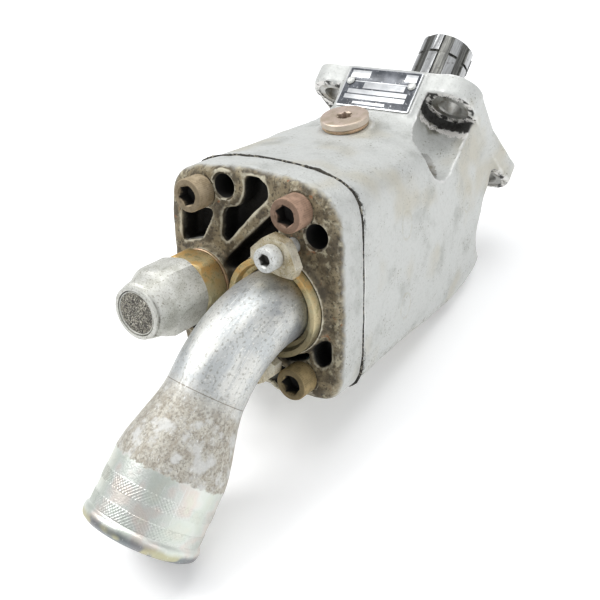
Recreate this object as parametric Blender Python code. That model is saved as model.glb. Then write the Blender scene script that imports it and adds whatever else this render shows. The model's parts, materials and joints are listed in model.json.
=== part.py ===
"""Bent-axis axial piston pump with a splined shaft, hose fitting and capped pressure port.

Lengths are in millimetres until each mesh is finished, when it is scaled to metres.
The pump frame has its origin where the shaft and barrel axes cross. Its X axis is the
barrel axis and points away from the end cover, Z points to the filler plug, and the
shaft axis leans up from X by the bend angle. At the end the whole pump is tilted until
it rests on its casing and its hose fitting, and is centred over the origin.
"""

import math

import bmesh
import bpy
from mathutils import Matrix, Vector

to_metres = 0.001
gap = 0.3  # left between pieces that touch

# Axes
bend_angle = math.radians(45)
face_distance = 69.5  # axes' crossing to the mounting face, along the shaft

# Mounting flange: four bolts on a square
bolt_spacing = 80.0
bolt_hole_radius = 6.75
ear_radius = 16.0
flange_thickness = 13.0
flange_half_width = 52.0
pilot_radius = 40.0
pilot_height = 6.0
pocket_radius = 17.0  # room for a bolt head behind each ear
pocket_length = 50.0
pocket_flare = math.radians(17)
spot_face_depth = 0.5

# Casing
casing_half_width = 56.0
casing_top = 62.5
casing_bottom = -60.0
casing_corner = 8  # exponent of the rounded outline
top_crown = 0.12
side_crown = 0.04
cover_plane = -110.6  # rear face of the casing
chamber_radius = 44.0
bend_start = -45.0  # along the barrel axis

# Gasket and end cover
gasket_thickness = 0.8
cover_thickness = 19.6
cover_edge = 4.3
cover_screw_circle = 55.9
cover_screw_angle = math.radians(33.8)
cover_screw_radius = 6.0
cover_screw_length = 45.0
spare_turn = math.radians(16.6)  # the unused holes are the same pattern, turned
spare_circle = 53.5
window_depth = 14.0

# Shaft and its bearings
spline_length = 47.0
spline_end = 55.6
spline_radius = 17.5
spline_root_radius = 16.0
spline_teeth = 8
tooth_width = 6.0
ring_groove_place = 42.2
journal_radius = 20.0
bearing_radius = 34.0
bearing_width = 19.0
seal_radius = 28.0
seal_width = 7.0
drive_disc_radius = 34.0
drive_disc_thickness = 22.5

# Rotating group
piston_count = 7
piston_circle = 24.5
piston_radius = 8.9
piston_ball_radius = 6.6
bore_clearance = 0.3
barrel_radius = 40.0
barrel_front = -44.0
barrel_nose = 5.0
barrel_back = -104.6
gear_teeth = 24
gear_inner_radius = 36.0
gear_outer_radius = 42.0
tooth_height = 1.3
pin_radius = 3.8
pin_ball_radius = 7.6
pin_collar = -60.0  # along the barrel axis
spring_turns = 6
spring_wire_radius = 1.1
valve_plate_thickness = 5.6
dowel_circle = 36.0
kidney_half_angle = 38  # degrees
kidney_inner = 19.5
kidney_outer = 28.0

# Ports, in the end cover
pressure_port = Vector((0.0, 30.0, -2.0))
pressure_thread_radius = 13.2
pressure_boss_width = 4.8
adapter_flats = 33.0
adapter_washer_radius = 17.2
adapter_length = 16.0
cap_flats = 36.0
cap_length = 35.0
cap_hex_length = 20.0
suction_port = Vector((0.0, -18.6, -6.0))
hose_tube_radius = 20.3
hose_tube_wall = 2.6
hose_bend_radius = 59.0
hose_bend_angle = math.radians(51.3)
hose_turn = math.radians(7.5)  # how far the bend leans from straight down
hose_straight = 6.0
reducer_length = 39.0
hose_tail_radius = 28.5
hose_tail_length = 36.5
hose_bead = 1.6
collar_width = 7.2  # between the tube and the collar's rim
collar_thickness = 6.0
clamp_reach = 6.5  # from the collar's rim to a clamp screw's axis
clamp_angle = math.radians(14.2)
clamp_thickness = 6.0
clamp_screw_radius = 4.0

# Filler plug and rating plate
plug_place = Vector((-40.0, 0.0, 64.8))
plug_tilt = math.radians(12)
plug_radius = 14.0
plug_thread_radius = 10.0
plate_length = 50.0
plate_width = 27.5
plate_height = 56.9  # its underside, from the shaft axis
plate_middle = -15.8  # from the mounting face, along the shaft


def clear_scene():
    for old in list(bpy.data.objects):
        bpy.data.objects.remove(old)


def material(name, colour, roughness, metallic):
    made = bpy.data.materials.new(name)
    made.use_nodes = True
    shader = made.node_tree.nodes["Principled BSDF"]
    shader.inputs["Base Color"].default_value = (*colour, 1)
    shader.inputs["Roughness"].default_value = roughness
    shader.inputs["Metallic"].default_value = metallic
    return made


def empty(name, parent=None, matrix=None):
    made = bpy.data.objects.new(name, None)
    bpy.context.collection.objects.link(made)
    made.parent = parent
    made.matrix_local = matrix or Matrix()
    return made


def link_mesh(name, bm, parent):
    bmesh.ops.scale(bm, vec=(to_metres,) * 3, verts=bm.verts)
    mesh = bpy.data.meshes.new(name)
    bm.to_mesh(mesh)
    bm.free()
    made = bpy.data.objects.new(name, mesh)
    bpy.context.collection.objects.link(made)
    made.parent = parent
    return made


def solid(name, bm, finish, parent):
    """Makes the named sub-part from a finished bmesh."""
    made = link_mesh(name, bm, parent)
    made.data.materials.append(finish)
    made.data.shade_smooth()
    made.data.set_sharp_from_angle(angle=math.radians(35))
    return made


def copy_of(source, name, location):
    made = source.copy()
    made.name = name
    made.location = Vector(location) * to_metres
    bpy.context.collection.objects.link(made)
    return made


def carve(target, bm, label, operation="DIFFERENCE"):
    """Adds a Boolean with a hidden cutter, built in the target's own frame. The two
    castings take the MANIFOLD solver, because EXACT leaves open edges in them."""
    cutter = link_mesh(f"{target.name}.{label}", bm, target.parent)
    cutter.hide_render = True
    cutter.display_type = "WIRE"
    modifier = target.modifiers.new(label, "BOOLEAN")
    modifier.operation = operation
    modifier.solver = "MANIFOLD" if target.name in ("bearing_housing", "end_cover") else "EXACT"
    modifier.object = cutter


def close_up(bm):
    bmesh.ops.remove_doubles(bm, verts=bm.verts, dist=1e-4)
    bmesh.ops.recalc_face_normals(bm, faces=bm.faces)
    return bm


def turned(profile, sides=24, hexes=(), centre=(0, 0, 0)):
    """Turns (x, radius) points about X. Points at an index in hexes become a hexagon
    whose distance across flats is twice their radius."""
    bm = bmesh.new()
    points = [bm.verts.new((x, 0, radius)) for x, radius in profile]
    edges = [bm.edges.new(pair) for pair in zip(points, points[1:])]
    if profile[0][1] > 0:
        edges.append(bm.edges.new((points[-1], points[0])))
    flats = {(round(profile[i][0], 4), round(profile[i][1], 4)) for i in hexes}
    bmesh.ops.spin(
        bm, geom=points + edges, cent=(0, 0, 0), axis=(1, 0, 0), angle=math.tau,
        steps=sides, use_merge=True,
    )
    for vert in bm.verts:
        radius = math.hypot(vert.co.y, vert.co.z)
        if (round(vert.co.x, 4), round(radius, 4)) in flats:
            turn = math.atan2(vert.co.y, vert.co.z) % math.radians(60)
            stretch = 1 / math.cos(turn - math.radians(30))
            vert.co.y *= stretch
            vert.co.z *= stretch
    bmesh.ops.translate(bm, vec=centre, verts=bm.verts)
    return close_up(bm)


def prism(outline, start, end):
    """Extrudes a (y, z) outline along X."""
    bm = bmesh.new()
    face = bm.faces.new([bm.verts.new((start, y, z)) for y, z in outline])
    grown = bmesh.ops.extrude_face_region(bm, geom=[face])
    moved = [item for item in grown["geom"] if isinstance(item, bmesh.types.BMVert)]
    bmesh.ops.translate(bm, vec=(end - start, 0, 0), verts=moved)
    return close_up(bm)


def loft(rings):
    """Joins rings of equal point counts into a solid with flat ends."""
    bm = bmesh.new()
    loops = [[bm.verts.new(point) for point in ring] for ring in rings]
    for first, second in zip(loops, loops[1:]):
        for i in range(len(first)):
            bm.faces.new((first[i - 1], first[i], second[i], second[i - 1]))
    bm.faces.new(loops[0])
    bm.faces.new(loops[-1])
    return close_up(bm)


def tube_loft(rings):
    """Joins rings into a closed shell whose last ring meets its first."""
    bm = bmesh.new()
    loops = [[bm.verts.new(point) for point in ring] for ring in rings]
    for k in range(len(loops)):
        first, second = loops[k - 1], loops[k]
        for i in range(len(first)):
            bm.faces.new((first[i - 1], first[i], second[i], second[i - 1]))
    return close_up(bm)


def transformed(bm, matrix):
    bmesh.ops.transform(bm, matrix=matrix, verts=bm.verts)
    return bm


def arc(centre, radius, start, end, steps):
    """(y, z) points of an arc, from the start angle to the end angle in degrees."""
    angles = [math.radians(start + (end - start) * k / steps) for k in range(steps + 1)]
    return [(centre[0] + radius * math.cos(a), centre[1] + radius * math.sin(a)) for a in angles]


def shaft_frame():
    """Matrix from shaft coordinates (X outwards along the shaft) to the pump frame."""
    return Matrix.Rotation(-bend_angle, 4, "Y")


def casing_outline(half_width, top, bottom, flat_bottom=True, count=48, inset=0.0):
    """The rounded, slightly crowned outline of the casing, as (y, z) points."""
    width, height = half_width - inset, (top - bottom) / 2 - inset
    middle = (top + bottom) / 2
    points = []
    for k in range(count):
        turn = math.tau * k / count
        c, s = math.cos(turn), math.sin(turn)
        corner = 2 / casing_corner
        bunched = math.atan2(
            math.copysign(abs(s) ** corner, s) * height,
            math.copysign(abs(c) ** corner, c) * width,
        )
        angle = (bunched + math.atan2(s * height, c * width)) / 2
        reach = (abs(math.cos(angle)) / width) ** casing_corner
        reach += (abs(math.sin(angle)) / height) ** casing_corner
        reach **= -1 / casing_corner
        y, z = reach * math.cos(angle), reach * math.sin(angle)
        crown = 0.0 if flat_bottom and z < 0 else top_crown
        z *= 1 - crown * (y / width) ** 2
        y *= 1 - side_crown * (z / height) ** 2
        points.append((y, middle + z))
    return points


def screw_places(circle, turn=0.0):
    """(y, z) of the four cover screws, turned clockwise as the cover is looked at."""
    places = []
    for base in (-cover_screw_angle, cover_screw_angle):
        for half in (0.0, math.pi):
            angle = base + half + turn
            places.append((-circle * math.sin(angle), circle * math.cos(angle)))
    return places


def bolt_places():
    half = bolt_spacing / 2
    return [(y, z) for y in (-half, half) for z in (-half, half)]


# Places and radii that follow from the sizes above
flange_back = face_distance - flange_thickness
fan_height = (flange_back - bend_start * math.cos(bend_angle)) / math.sin(bend_angle)
fan_pivot = Vector((bend_start, 0.0, fan_height))  # the bend's sections turn about this point
collar_radius = hose_tube_radius + collar_width
clamp_circle = collar_radius + clamp_reach
gasket_front = cover_plane - gap
cover_back = gasket_front - gasket_thickness - gap
cover_front = cover_back - cover_thickness
valve_plate_front = barrel_back - gap


def make_materials():
    return {
        "casing": material("casing", (0.62, 0.62, 0.60), 0.5, 0.6),
        "cover": material("cover", (0.36, 0.32, 0.25), 0.7, 0.3),
        "sealant": material("sealant", (0.05, 0.05, 0.05), 0.9, 0.0),
        "rusted": material("rusted", (0.42, 0.30, 0.22), 0.7, 0.5),
        "zinc": material("zinc", (0.62, 0.62, 0.58), 0.4, 0.9),
        "yellow_zinc": material("yellow_zinc", (0.60, 0.47, 0.25), 0.4, 0.9),
        "steel": material("steel", (0.45, 0.45, 0.45), 0.3, 1.0),
        "bronze": material("bronze", (0.60, 0.42, 0.26), 0.4, 0.9),
        "rubber": material("rubber", (0.03, 0.03, 0.03), 0.8, 0.0),
        "plate": material("plate", (0.66, 0.66, 0.64), 0.35, 0.9),
        "plug": material("plug", (0.48, 0.38, 0.32), 0.5, 0.6),
    }


def bend_ring(angle, top, bottom, half_width):
    """One section of the bend. Its plane holds the fan pivot's line and is turned by
    angle; top and bottom are distances from the pivot."""
    flat = casing_outline(half_width, -top, -bottom)
    turn = Matrix.Rotation(-angle, 4, "Y")
    return [fan_pivot + turn @ Vector((0, y, z)) for y, z in flat]


def make_casing_shape():
    sections = [(cover_plane, casing_top, casing_bottom, casing_half_width)]
    sections.append((-80.0, casing_top - 0.5, casing_bottom + 1.5, casing_half_width - 0.5))
    rings = [
        [Vector((x, y, z)) for y, z in casing_outline(half_width, top, bottom)]
        for x, top, bottom, half_width in sections
    ]
    to_top, to_bottom = fan_pivot.z - casing_top, fan_pivot.z - casing_bottom
    bend = (
        (0.0, -0.4, -2.9, 1.0),
        (0.22, 0.6, -0.2, 1.5),
        (0.44, 2.1, 6.5, 2.5),
        (0.63, 3.1, 9.2, 3.5),
        (0.80, 2.1, -3.7, 4.5),
        (0.93, 1.1, -19.4, 5.0),
        (1.0, 0.8, -21.9, 5.0),
    )
    for share, sink, sag, narrowing in bend:
        rings.append(bend_ring(share * bend_angle, to_top + sink, to_bottom + sag, casing_half_width - narrowing))
    last_plane = sum(fan_axis(rings[-1])) / len(rings[-1])
    step = shaft_frame() @ Vector((flange_back + 3 - last_plane, 0, 0))
    rings.append([point + step for point in rings[-1]])
    return loft(rings)


def fan_axis(ring):
    """Each point's place along the shaft axis."""
    back = shaft_frame().inverted()
    return [(back @ point).x for point in ring]


def flange_outline():
    half = bolt_spacing / 2
    points = [(flange_half_width, 0.0)]
    for y, z, start in ((half, half, -20), (-half, half, 70), (-half, -half, 160), (half, -half, 250)):
        points += arc((y, z), ear_radius, start, start + 130, 8)
        if (y, z) == (-half, half):
            points.append((-flange_half_width, 0.0))
    return points


def make_housing(finish, parent):
    housing = solid("bearing_housing", make_casing_shape(), finish, parent)
    shaft = shaft_frame()
    flange = prism(flange_outline(), flange_back, face_distance)
    carve(housing, transformed(flange, shaft), "flange", "UNION")
    pilot = turned(
        [
            (face_distance - 3, 0),
            (face_distance - 3, pilot_radius),
            (face_distance + pilot_height - 1, pilot_radius),
            (face_distance + pilot_height, pilot_radius - 1),
            (face_distance + pilot_height, 0),
        ],
        32,
    )
    carve(housing, transformed(pilot, shaft), "pilot", "UNION")
    boss = turned([(-20, 0), (-20, plug_radius + 3), (-1, plug_radius + 3), (0, plug_radius + 1.5), (0, 0)], 24)
    carve(housing, transformed(boss, plug_frame()), "plug_boss", "UNION")
    spot_face = turned([(0, 0), (0, plug_radius + 0.8), (8, plug_radius + 0.8), (8, 0)], 24)
    carve(housing, transformed(spot_face, plug_frame()), "plug_spot_face")
    pad, above = plate_pad()
    carve(housing, pad, "plate_pad", "UNION")
    carve(housing, above, "plate_face")
    chamber = turned([(cover_plane - 10, 0), (cover_plane - 10, chamber_radius), (4, chamber_radius), (4, 0)], 32)
    carve(housing, chamber, "chamber")
    disc_room = turned([(-12, 0), (-12, chamber_radius), (25, chamber_radius), (25, 0)], 32)
    carve(housing, transformed(disc_room, shaft), "disc_room")
    bore = turned(
        [
            (10, 0),
            (10, bearing_radius + gap),
            (bearing_seat_end(), bearing_radius + gap),
            (bearing_seat_end(), seal_radius + gap),
            (face_distance + pilot_height + 5, seal_radius + gap),
            (face_distance + pilot_height + 5, 0),
        ],
        32,
    )
    carve(housing, transformed(bore, shaft), "bearing_bore")
    for number, (y, z) in enumerate(bolt_places(), 1):
        carve(housing, transformed(bolt_pocket(y, z), shaft), f"pocket_{number}")
        hole = turned(
            [(flange_back - 12, 0), (flange_back - 12, bolt_hole_radius),
             (face_distance + 5, bolt_hole_radius), (face_distance + 5, 0)],
            18, centre=(0, y, z),
        )
        carve(housing, transformed(hole, shaft), f"bolt_hole_{number}")
    hole_end = cover_plane + cover_screw_length - cover_thickness
    for number, (y, z) in enumerate(screw_places(cover_screw_circle), 1):
        tapped = turned(
            [(cover_plane - 5, 0), (cover_plane - 5, cover_screw_radius + gap),
             (hole_end, cover_screw_radius + gap), (hole_end + 3, 0)],
            18, centre=(0, y, z),
        )
        carve(housing, tapped, f"tapped_hole_{number}")
    thread = plug_thread_radius + gap
    plug_hole = turned([(-30, 0), (-30, thread), (5, thread), (5, 0)], 18)
    carve(housing, transformed(plug_hole, plug_frame()), "plug_hole")


def bolt_pocket(y, z):
    """Scooped room behind one ear: a round-ended cylinder, sheared away from the shaft,
    with a spot face for the bolt's head."""
    start = flange_back + spot_face_depth
    straight = pocket_length - pocket_radius
    profile = [(0, 0), (0, pocket_radius), (-straight, pocket_radius)]
    for k in (1, 2):
        turn = math.radians(30 * k)
        profile.append((-straight - pocket_radius * math.sin(turn), pocket_radius * math.cos(turn)))
    profile.append((-pocket_length, 0))
    pocket = turned(profile, 16)
    for vert in pocket.verts:
        shift = math.tan(pocket_flare) * abs(vert.co.x) / math.sqrt(2)
        vert.co.y += math.copysign(shift, y)
        vert.co.z += math.copysign(shift, z)
    bmesh.ops.recalc_face_normals(pocket, faces=pocket.faces)
    return transformed(pocket, Matrix.Translation((start, y, z)))


def plate_pad():
    """The flat pad under the rating plate, and the cutter that levels the casing over it."""
    start = face_distance + plate_middle - plate_width / 2 - 1.5
    length = face_distance - 0.8 - start
    half_y = plate_length / 2 + 1.5
    top = plate_height - gap
    boxes = []
    for low, high, half, shift in ((top - 14, top, half_y, 0), (top, top + 12, half_y + 0.7, -0.9)):
        bm = bmesh.new()
        size = (length, 2 * half, high - low, 1)
        middle = Matrix.Translation((start + length / 2 + shift, 0, (low + high) / 2))
        bmesh.ops.create_cube(bm, size=1, matrix=middle @ Matrix.Diagonal(size))
        boxes.append(transformed(bm, shaft_frame()))
    return boxes


def bearing_seat_end():
    """Shoulder that the front bearing's cup rests against."""
    return face_distance - 3.5


def plug_frame():
    """Local X runs out of the filler hole."""
    out = Matrix.Rotation(-math.pi / 2 - plug_tilt, 4, "Y")
    return Matrix.Translation(plug_place) @ out


def kidney(middle, inner, outer, front, back):
    """A curved slot about the barrel axis, centred on an angle in degrees."""
    start, end = middle - kidney_half_angle, middle + kidney_half_angle
    outline = arc((0, 0), outer, start, end, 6) + arc((0, 0), inner, end, start, 6)
    return prism(outline, front, back)


def cover_windows():
    """(y, z) outlines of the recesses between the cover's ribs."""
    return {
        "left": [(47, 33), (38, 33), (27, 32), (36, 17), (48, 15)],
        "upper": [(2, 57), (-6, 57), (-10, 51), (21, 22), (25, 26), (17, 38), (6, 41), (2, 47)],
        "middle": [(-13, 44), (-19, 37), (-17, 32), (-6, 29), (4, 19), (12, 18), (15, 21)],
        "lower_left": [(47, -22), (36, -24), (26, -34), (38, -34), (46, -32)],
        "lower": [(17, -30), (8, -38), (-10, -44), (-12, -56), (10, -57), (18, -44)],
        "right": [(-47, -24), (-40, -26), (-38, -34), (-44, -36), (-48, -34)],
    }


def make_cover(finish, parent):
    rings = []
    for x, inset in ((cover_back, 0), (cover_front + cover_edge, 0), (cover_front + 1.3, 1.2), (cover_front, 3.4)):
        outline = casing_outline(casing_half_width, casing_top, casing_bottom, inset=inset)
        rings.append([Vector((x, y, z)) for y, z in outline])
    cover = solid("end_cover", loft(rings), finish, parent)
    bosses = (
        ("pressure_boss", pressure_port, pressure_thread_radius + pressure_boss_width),
        ("suction_boss", suction_port, collar_radius + 2),
    )
    for label, port, radius in bosses:
        boss = turned(
            [(cover_back - 3, 0), (cover_back - 3, radius), (cover_front - 3, radius),
             (cover_front - 4, radius - 1), (cover_front - 4, 0)],
            30, centre=port,
        )
        carve(cover, boss, label, "UNION")
    for label, outline in cover_windows().items():
        carve(cover, prism(outline, cover_front + window_depth, cover_front - 8), f"window_{label}")
    front, back = cover_front - 10, cover_back + 5
    bores = (
        ("pressure_bore", pressure_port, pressure_thread_radius + gap, cover_front + 12),
        ("suction_bore", suction_port, hose_tube_radius + gap, cover_front + 9),
    )
    for label, port, radius, depth in bores:
        carve(cover, turned([(front, 0), (front, radius), (depth, radius), (depth, 0)], 24, centre=port), label)
    for label, middle in (("pressure_gallery", 0), ("suction_gallery", 180)):
        carve(cover, kidney(middle, kidney_inner, kidney_outer, cover_front + 6, back), label)
    hole = cover_screw_radius + 0.5
    groups = (("screw_hole", screw_places(cover_screw_circle)), ("spare_hole", screw_places(spare_circle, spare_turn)))
    for label, places in groups:
        for number, (y, z) in enumerate(places, 1):
            drill = turned([(front, 0), (front, hole), (back, hole), (back, 0)], 18, centre=(0, y, z))
            carve(cover, drill, f"{label}_{number}")
    for number, (y, z) in enumerate(clamp_places(), 1):
        radius, depth = clamp_screw_radius + gap, cover_front + 12
        drill = turned([(front, 0), (front, radius), (depth, radius), (depth, 0)], 12, centre=(0, y, z))
        carve(cover, drill, f"clamp_hole_{number}")


def make_gasket(finish, parent):
    outline = casing_outline(casing_half_width - 0.8, casing_top - 0.8, casing_bottom + 0.8)
    gasket = solid("cover_gasket", prism(outline, gasket_front, gasket_front - gasket_thickness), finish, parent)
    front, back = gasket_front + 3, gasket_front - 3
    centre = turned([(back, 0), (back, chamber_radius), (front, chamber_radius), (front, 0)], 32)
    carve(gasket, centre, "centre")
    for turn, circle in ((0.0, cover_screw_circle), (spare_turn, spare_circle)):
        for number, (y, z) in enumerate(screw_places(circle, turn), 1):
            label = f"hole_{round(circle)}_{number}"
            hole = cover_screw_radius + 0.5
            drill = turned([(back, 0), (back, hole), (front, hole), (front, 0)], 12, centre=(0, y, z))
            carve(gasket, drill, label)


def cap_screw(head_radius, head_height, shank_radius, length, flats, sides=18):
    """A socket screw whose head seats at x = 0 and points to -X."""
    top = -head_height
    return turned(
        [
            (top + head_height * 0.55, 0),
            (top + head_height * 0.55, flats / 2),
            (top, flats / 2),
            (top, head_radius - 0.8),
            (top + 0.8, head_radius),
            (0, head_radius),
            (0, shank_radius),
            (length - 1, shank_radius),
            (length, shank_radius - 1),
            (length, 0),
        ],
        sides,
        hexes=(1, 2),
    )


def make_cover_screws(finish, parent):
    head = cap_screw(9.0, 12.0, cover_screw_radius, cover_screw_length - 1, 10.0)
    places = screw_places(cover_screw_circle)
    first = solid("cover_screw_1", head, finish, parent)
    for number, (y, z) in enumerate(places[1:], 2):
        copy_of(first, f"cover_screw_{number}", (cover_front - gap, y, z))
    first.location = Vector((cover_front - gap, *places[0])) * to_metres


def make_valve_plate(materials, parent):
    radius = chamber_radius - 1.5
    front, back = valve_plate_front, valve_plate_front - valve_plate_thickness
    plate = turned([(front, 4), (front, radius), (back, radius), (back, 4)], 32)
    plate = solid("valve_plate", plate, materials["bronze"], parent)
    for label, middle in (("pressure_slot", 0), ("suction_slot", 180)):
        carve(plate, kidney(middle, kidney_inner, kidney_outer, back - 5, front + 5), label)
    pin_hole = turned([(back - 5, 0), (back - 5, 2.3), (back + 3, 2.3), (back + 3, 0)],
                      12, centre=(0, 0, dowel_circle))
    carve(plate, pin_hole, "dowel_hole")
    return plate


def make_barrel(materials, barrel_axis):
    bore = piston_radius + bore_clearance
    nose = barrel_front + barrel_nose
    body = turned(
        [
            (nose, pin_ball_radius + 0.6),
            (nose, gear_inner_radius - gap),
            (barrel_front, gear_inner_radius - gap),
            (barrel_front, barrel_radius),
            (barrel_back, barrel_radius),
            (barrel_back, 5.5),
            (barrel_back + 6, 5.5),
            (barrel_back + 6, pin_ball_radius + 0.6),
        ],
        32,
    )
    barrel = solid("cylinder_barrel", body, materials["bronze"], barrel_axis)
    for number, (y, z) in enumerate(piston_places(), 1):
        drill = turned(
            [(nose + 5, 0), (nose + 5, bore), (barrel_back + 12, bore), (barrel_back + 12, 3.5),
             (barrel_back - 5, 3.5), (barrel_back - 5, 0)],
            16, centre=(0, y, z),
        )
        carve(barrel, drill, f"bore_{number}")


def piston_places():
    turns = [math.tau * k / piston_count for k in range(piston_count)]
    return [(piston_circle * math.sin(t), piston_circle * math.cos(t)) for t in turns]


def make_pistons(finish, barrel_axis):
    """Ball-ended pistons with two rings' grooves, drawn back clear of the drive disc."""
    ball_x = barrel_front + barrel_nose + piston_ball_radius - 3
    profile = [(ball_x + piston_ball_radius, 0)]
    for k in (1, 2, 3):
        turn = math.radians(45 * k)
        profile.append((ball_x + piston_ball_radius * math.cos(turn), piston_ball_radius * math.sin(turn)))
    start = ball_x - 16
    profile += [(start, piston_radius), (start - 14, piston_radius)]
    profile += [(start - 14, piston_radius - 1), (start - 16, piston_radius - 1), (start - 16, piston_radius)]
    profile += [(start - 22, piston_radius), (start - 22, 0)]
    places = piston_places()
    first = solid("piston_1", turned(profile, 12), finish, barrel_axis)
    for number, (y, z) in enumerate(places[1:], 2):
        copy_of(first, f"piston_{number}", (0, y, z))
    first.location = Vector((0, *places[0])) * to_metres


def toothed_ring(inner, outer, back, phase):
    """A crown gear about X. Its tooth face slopes so that two alike mesh at the bend
    angle; phase moves the teeth by a share of a tooth pitch."""
    slope = math.tan(bend_angle / 2)
    pitch = math.tau / gear_teeth
    steps = ((-0.32, -1), (-0.16, 1), (0.16, 1), (0.32, -1))
    rings = {"inner_face": [], "outer_face": [], "outer_back": [], "inner_back": []}
    for tooth in range(gear_teeth):
        for share, side in steps:
            turn = (tooth + phase + share) * pitch
            c, s = math.cos(turn), math.sin(turn)
            lift = tooth_height * side * 0.85
            rings["inner_face"].append((slope * inner - lift, inner * s, inner * c))
            rings["outer_face"].append((slope * outer - lift, outer * s, outer * c))
            rings["outer_back"].append((back, outer * s, outer * c))
            rings["inner_back"].append((back, inner * s, inner * c))
    return tube_loft(list(rings.values()))


def make_gears(finish, shaft_axis, barrel_axis):
    """The 1:1 timing gears: one on the drive disc's rim, one on the barrel's nose."""
    inner, outer = drive_disc_radius + gap, gear_outer_radius - 1.5
    drive = toothed_ring(inner, outer, drive_disc_thickness, 0.0)
    solid("shaft_timing_gear", drive, finish, shaft_axis)
    driven = toothed_ring(gear_inner_radius, gear_outer_radius, -(barrel_front + gap), 0.5)
    bmesh.ops.scale(driven, vec=(-1, 1, 1), verts=driven.verts)
    bmesh.ops.recalc_face_normals(driven, faces=driven.faces)
    solid("barrel_timing_gear", driven, finish, barrel_axis)


def make_centre_pin(materials, barrel_axis):
    """The barrel's centre pin, whose ball sits where the axes cross, and its spring."""
    profile = [(pin_ball_radius, 0)]
    for k in range(1, 5):
        turn = math.radians(30 * k)
        profile.append((pin_ball_radius * math.cos(turn), pin_ball_radius * math.sin(turn)))
    collar_back = pin_collar - 4
    profile += [(-7.0, pin_radius), (pin_collar, pin_radius), (pin_collar, pin_ball_radius),
                (collar_back, pin_ball_radius), (collar_back, pin_radius), (barrel_back + 8, pin_radius),
                (barrel_back + 8, 0)]
    solid("centre_pin", turned(profile, 16), materials["steel"], barrel_axis)
    start, end = collar_back - gap - spring_wire_radius, barrel_back + 6 + gap + spring_wire_radius
    steps = spring_turns * 9
    coil = pin_radius + gap + 0.3 + spring_wire_radius
    rings = []
    for k in range(steps + 1):
        share = k / steps
        turn = math.tau * spring_turns * share
        middle = Vector((start + (end - start) * share, coil * math.sin(turn), coil * math.cos(turn)))
        out = Vector((0, math.sin(turn), math.cos(turn)))
        ring = []
        for j in range(4):
            around = math.tau * j / 4
            ring.append(
                middle + out * spring_wire_radius * math.cos(around)
                + Vector((1, 0, 0)) * spring_wire_radius * math.sin(around)
            )
        rings.append(ring)
    solid("barrel_spring", loft(rings), materials["steel"], barrel_axis)


def spline_outline():
    """(y, z) outline of the splined end: straight-sided teeth on a round root."""
    points = []
    half_tip = math.asin(tooth_width / 2 / spline_radius)
    half_root = math.asin(tooth_width / 2 / spline_root_radius)
    for tooth in range(spline_teeth):
        turn = math.tau * tooth / spline_teeth
        for radius, offset in (
            (spline_root_radius, -half_root), (spline_radius, -half_tip), (spline_radius, half_tip),
            (spline_root_radius, half_root), (spline_root_radius, math.pi / spline_teeth),
        ):
            points.append((radius * math.sin(turn + offset), radius * math.cos(turn + offset)))
    return points


def make_shaft(finish, shaft_axis):
    disc_back = drive_disc_thickness
    spline_start = face_distance + spline_end - spline_length
    profile = [
        (-1.5, 0),
        (-1.5, drive_disc_radius - 1),
        (-0.5, drive_disc_radius),
        (disc_back + gap, drive_disc_radius),
        (disc_back + gap, journal_radius + 5),
        (rear_bearing() - gap, journal_radius + 5),
        (rear_bearing() - gap, journal_radius),
        (bearing_seat_end() + 0.5, journal_radius),
        (bearing_seat_end() + 0.5, journal_radius - 1),
        (spline_start - 2, journal_radius - 1),
        (spline_start - 1, spline_root_radius - 0.5),
        (spline_start + 2, spline_root_radius - 0.5),
        (spline_start + 2, 0),
    ]
    shaft = solid("drive_shaft", turned(profile, 32), finish, shaft_axis)
    carve(shaft, prism(spline_outline(), spline_start, face_distance + spline_end), "spline", "UNION")
    groove_x = face_distance + ring_groove_place
    groove = turned([(groove_x - 1, spline_root_radius + 0.2), (groove_x - 1, 20), (groove_x + 1, 20),
                     (groove_x + 1, spline_root_radius + 0.2)], 24)
    carve(shaft, groove, "ring_groove")
    carve(shaft, ball(pin_ball_radius + 1.0, (0, 0, 0)), "centre_socket")
    for number, (y, z) in enumerate(piston_places(), 1):
        carve(shaft, ball(piston_ball_radius + 0.4, (0, y, z)), f"socket_{number}")


def ball(radius, centre):
    profile = [(radius * math.cos(math.radians(30 * k)), radius * math.sin(math.radians(30 * k))) for k in range(7)]
    profile[0], profile[-1] = (radius, 0), (-radius, 0)
    return turned(profile, 10, centre=centre)


def rear_bearing():
    """Where the rear bearing's cone starts, along the shaft."""
    return drive_disc_thickness + 3.5


def front_bearing():
    return bearing_seat_end() - bearing_width - gap


def roller_ring(inner, outer, start, end, count):
    """Rollers joined in their cage: a ring that swells at each roller."""
    rings = [[], [], [], []]
    for k in range(count * 3):
        turn = math.tau * k / (count * 3)
        swell = 0.9 if k % 3 == 0 else 0.0
        c, s = math.cos(turn), math.sin(turn)
        for ring, x, radius in (
            (rings[0], start, inner + 0.9 - swell), (rings[1], start, outer - 0.9 + swell),
            (rings[2], end, outer - 0.9 + swell), (rings[3], end, inner + 0.9 - swell),
        ):
            ring.append((x, radius * s, radius * c))
    return tube_loft(rings)


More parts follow.
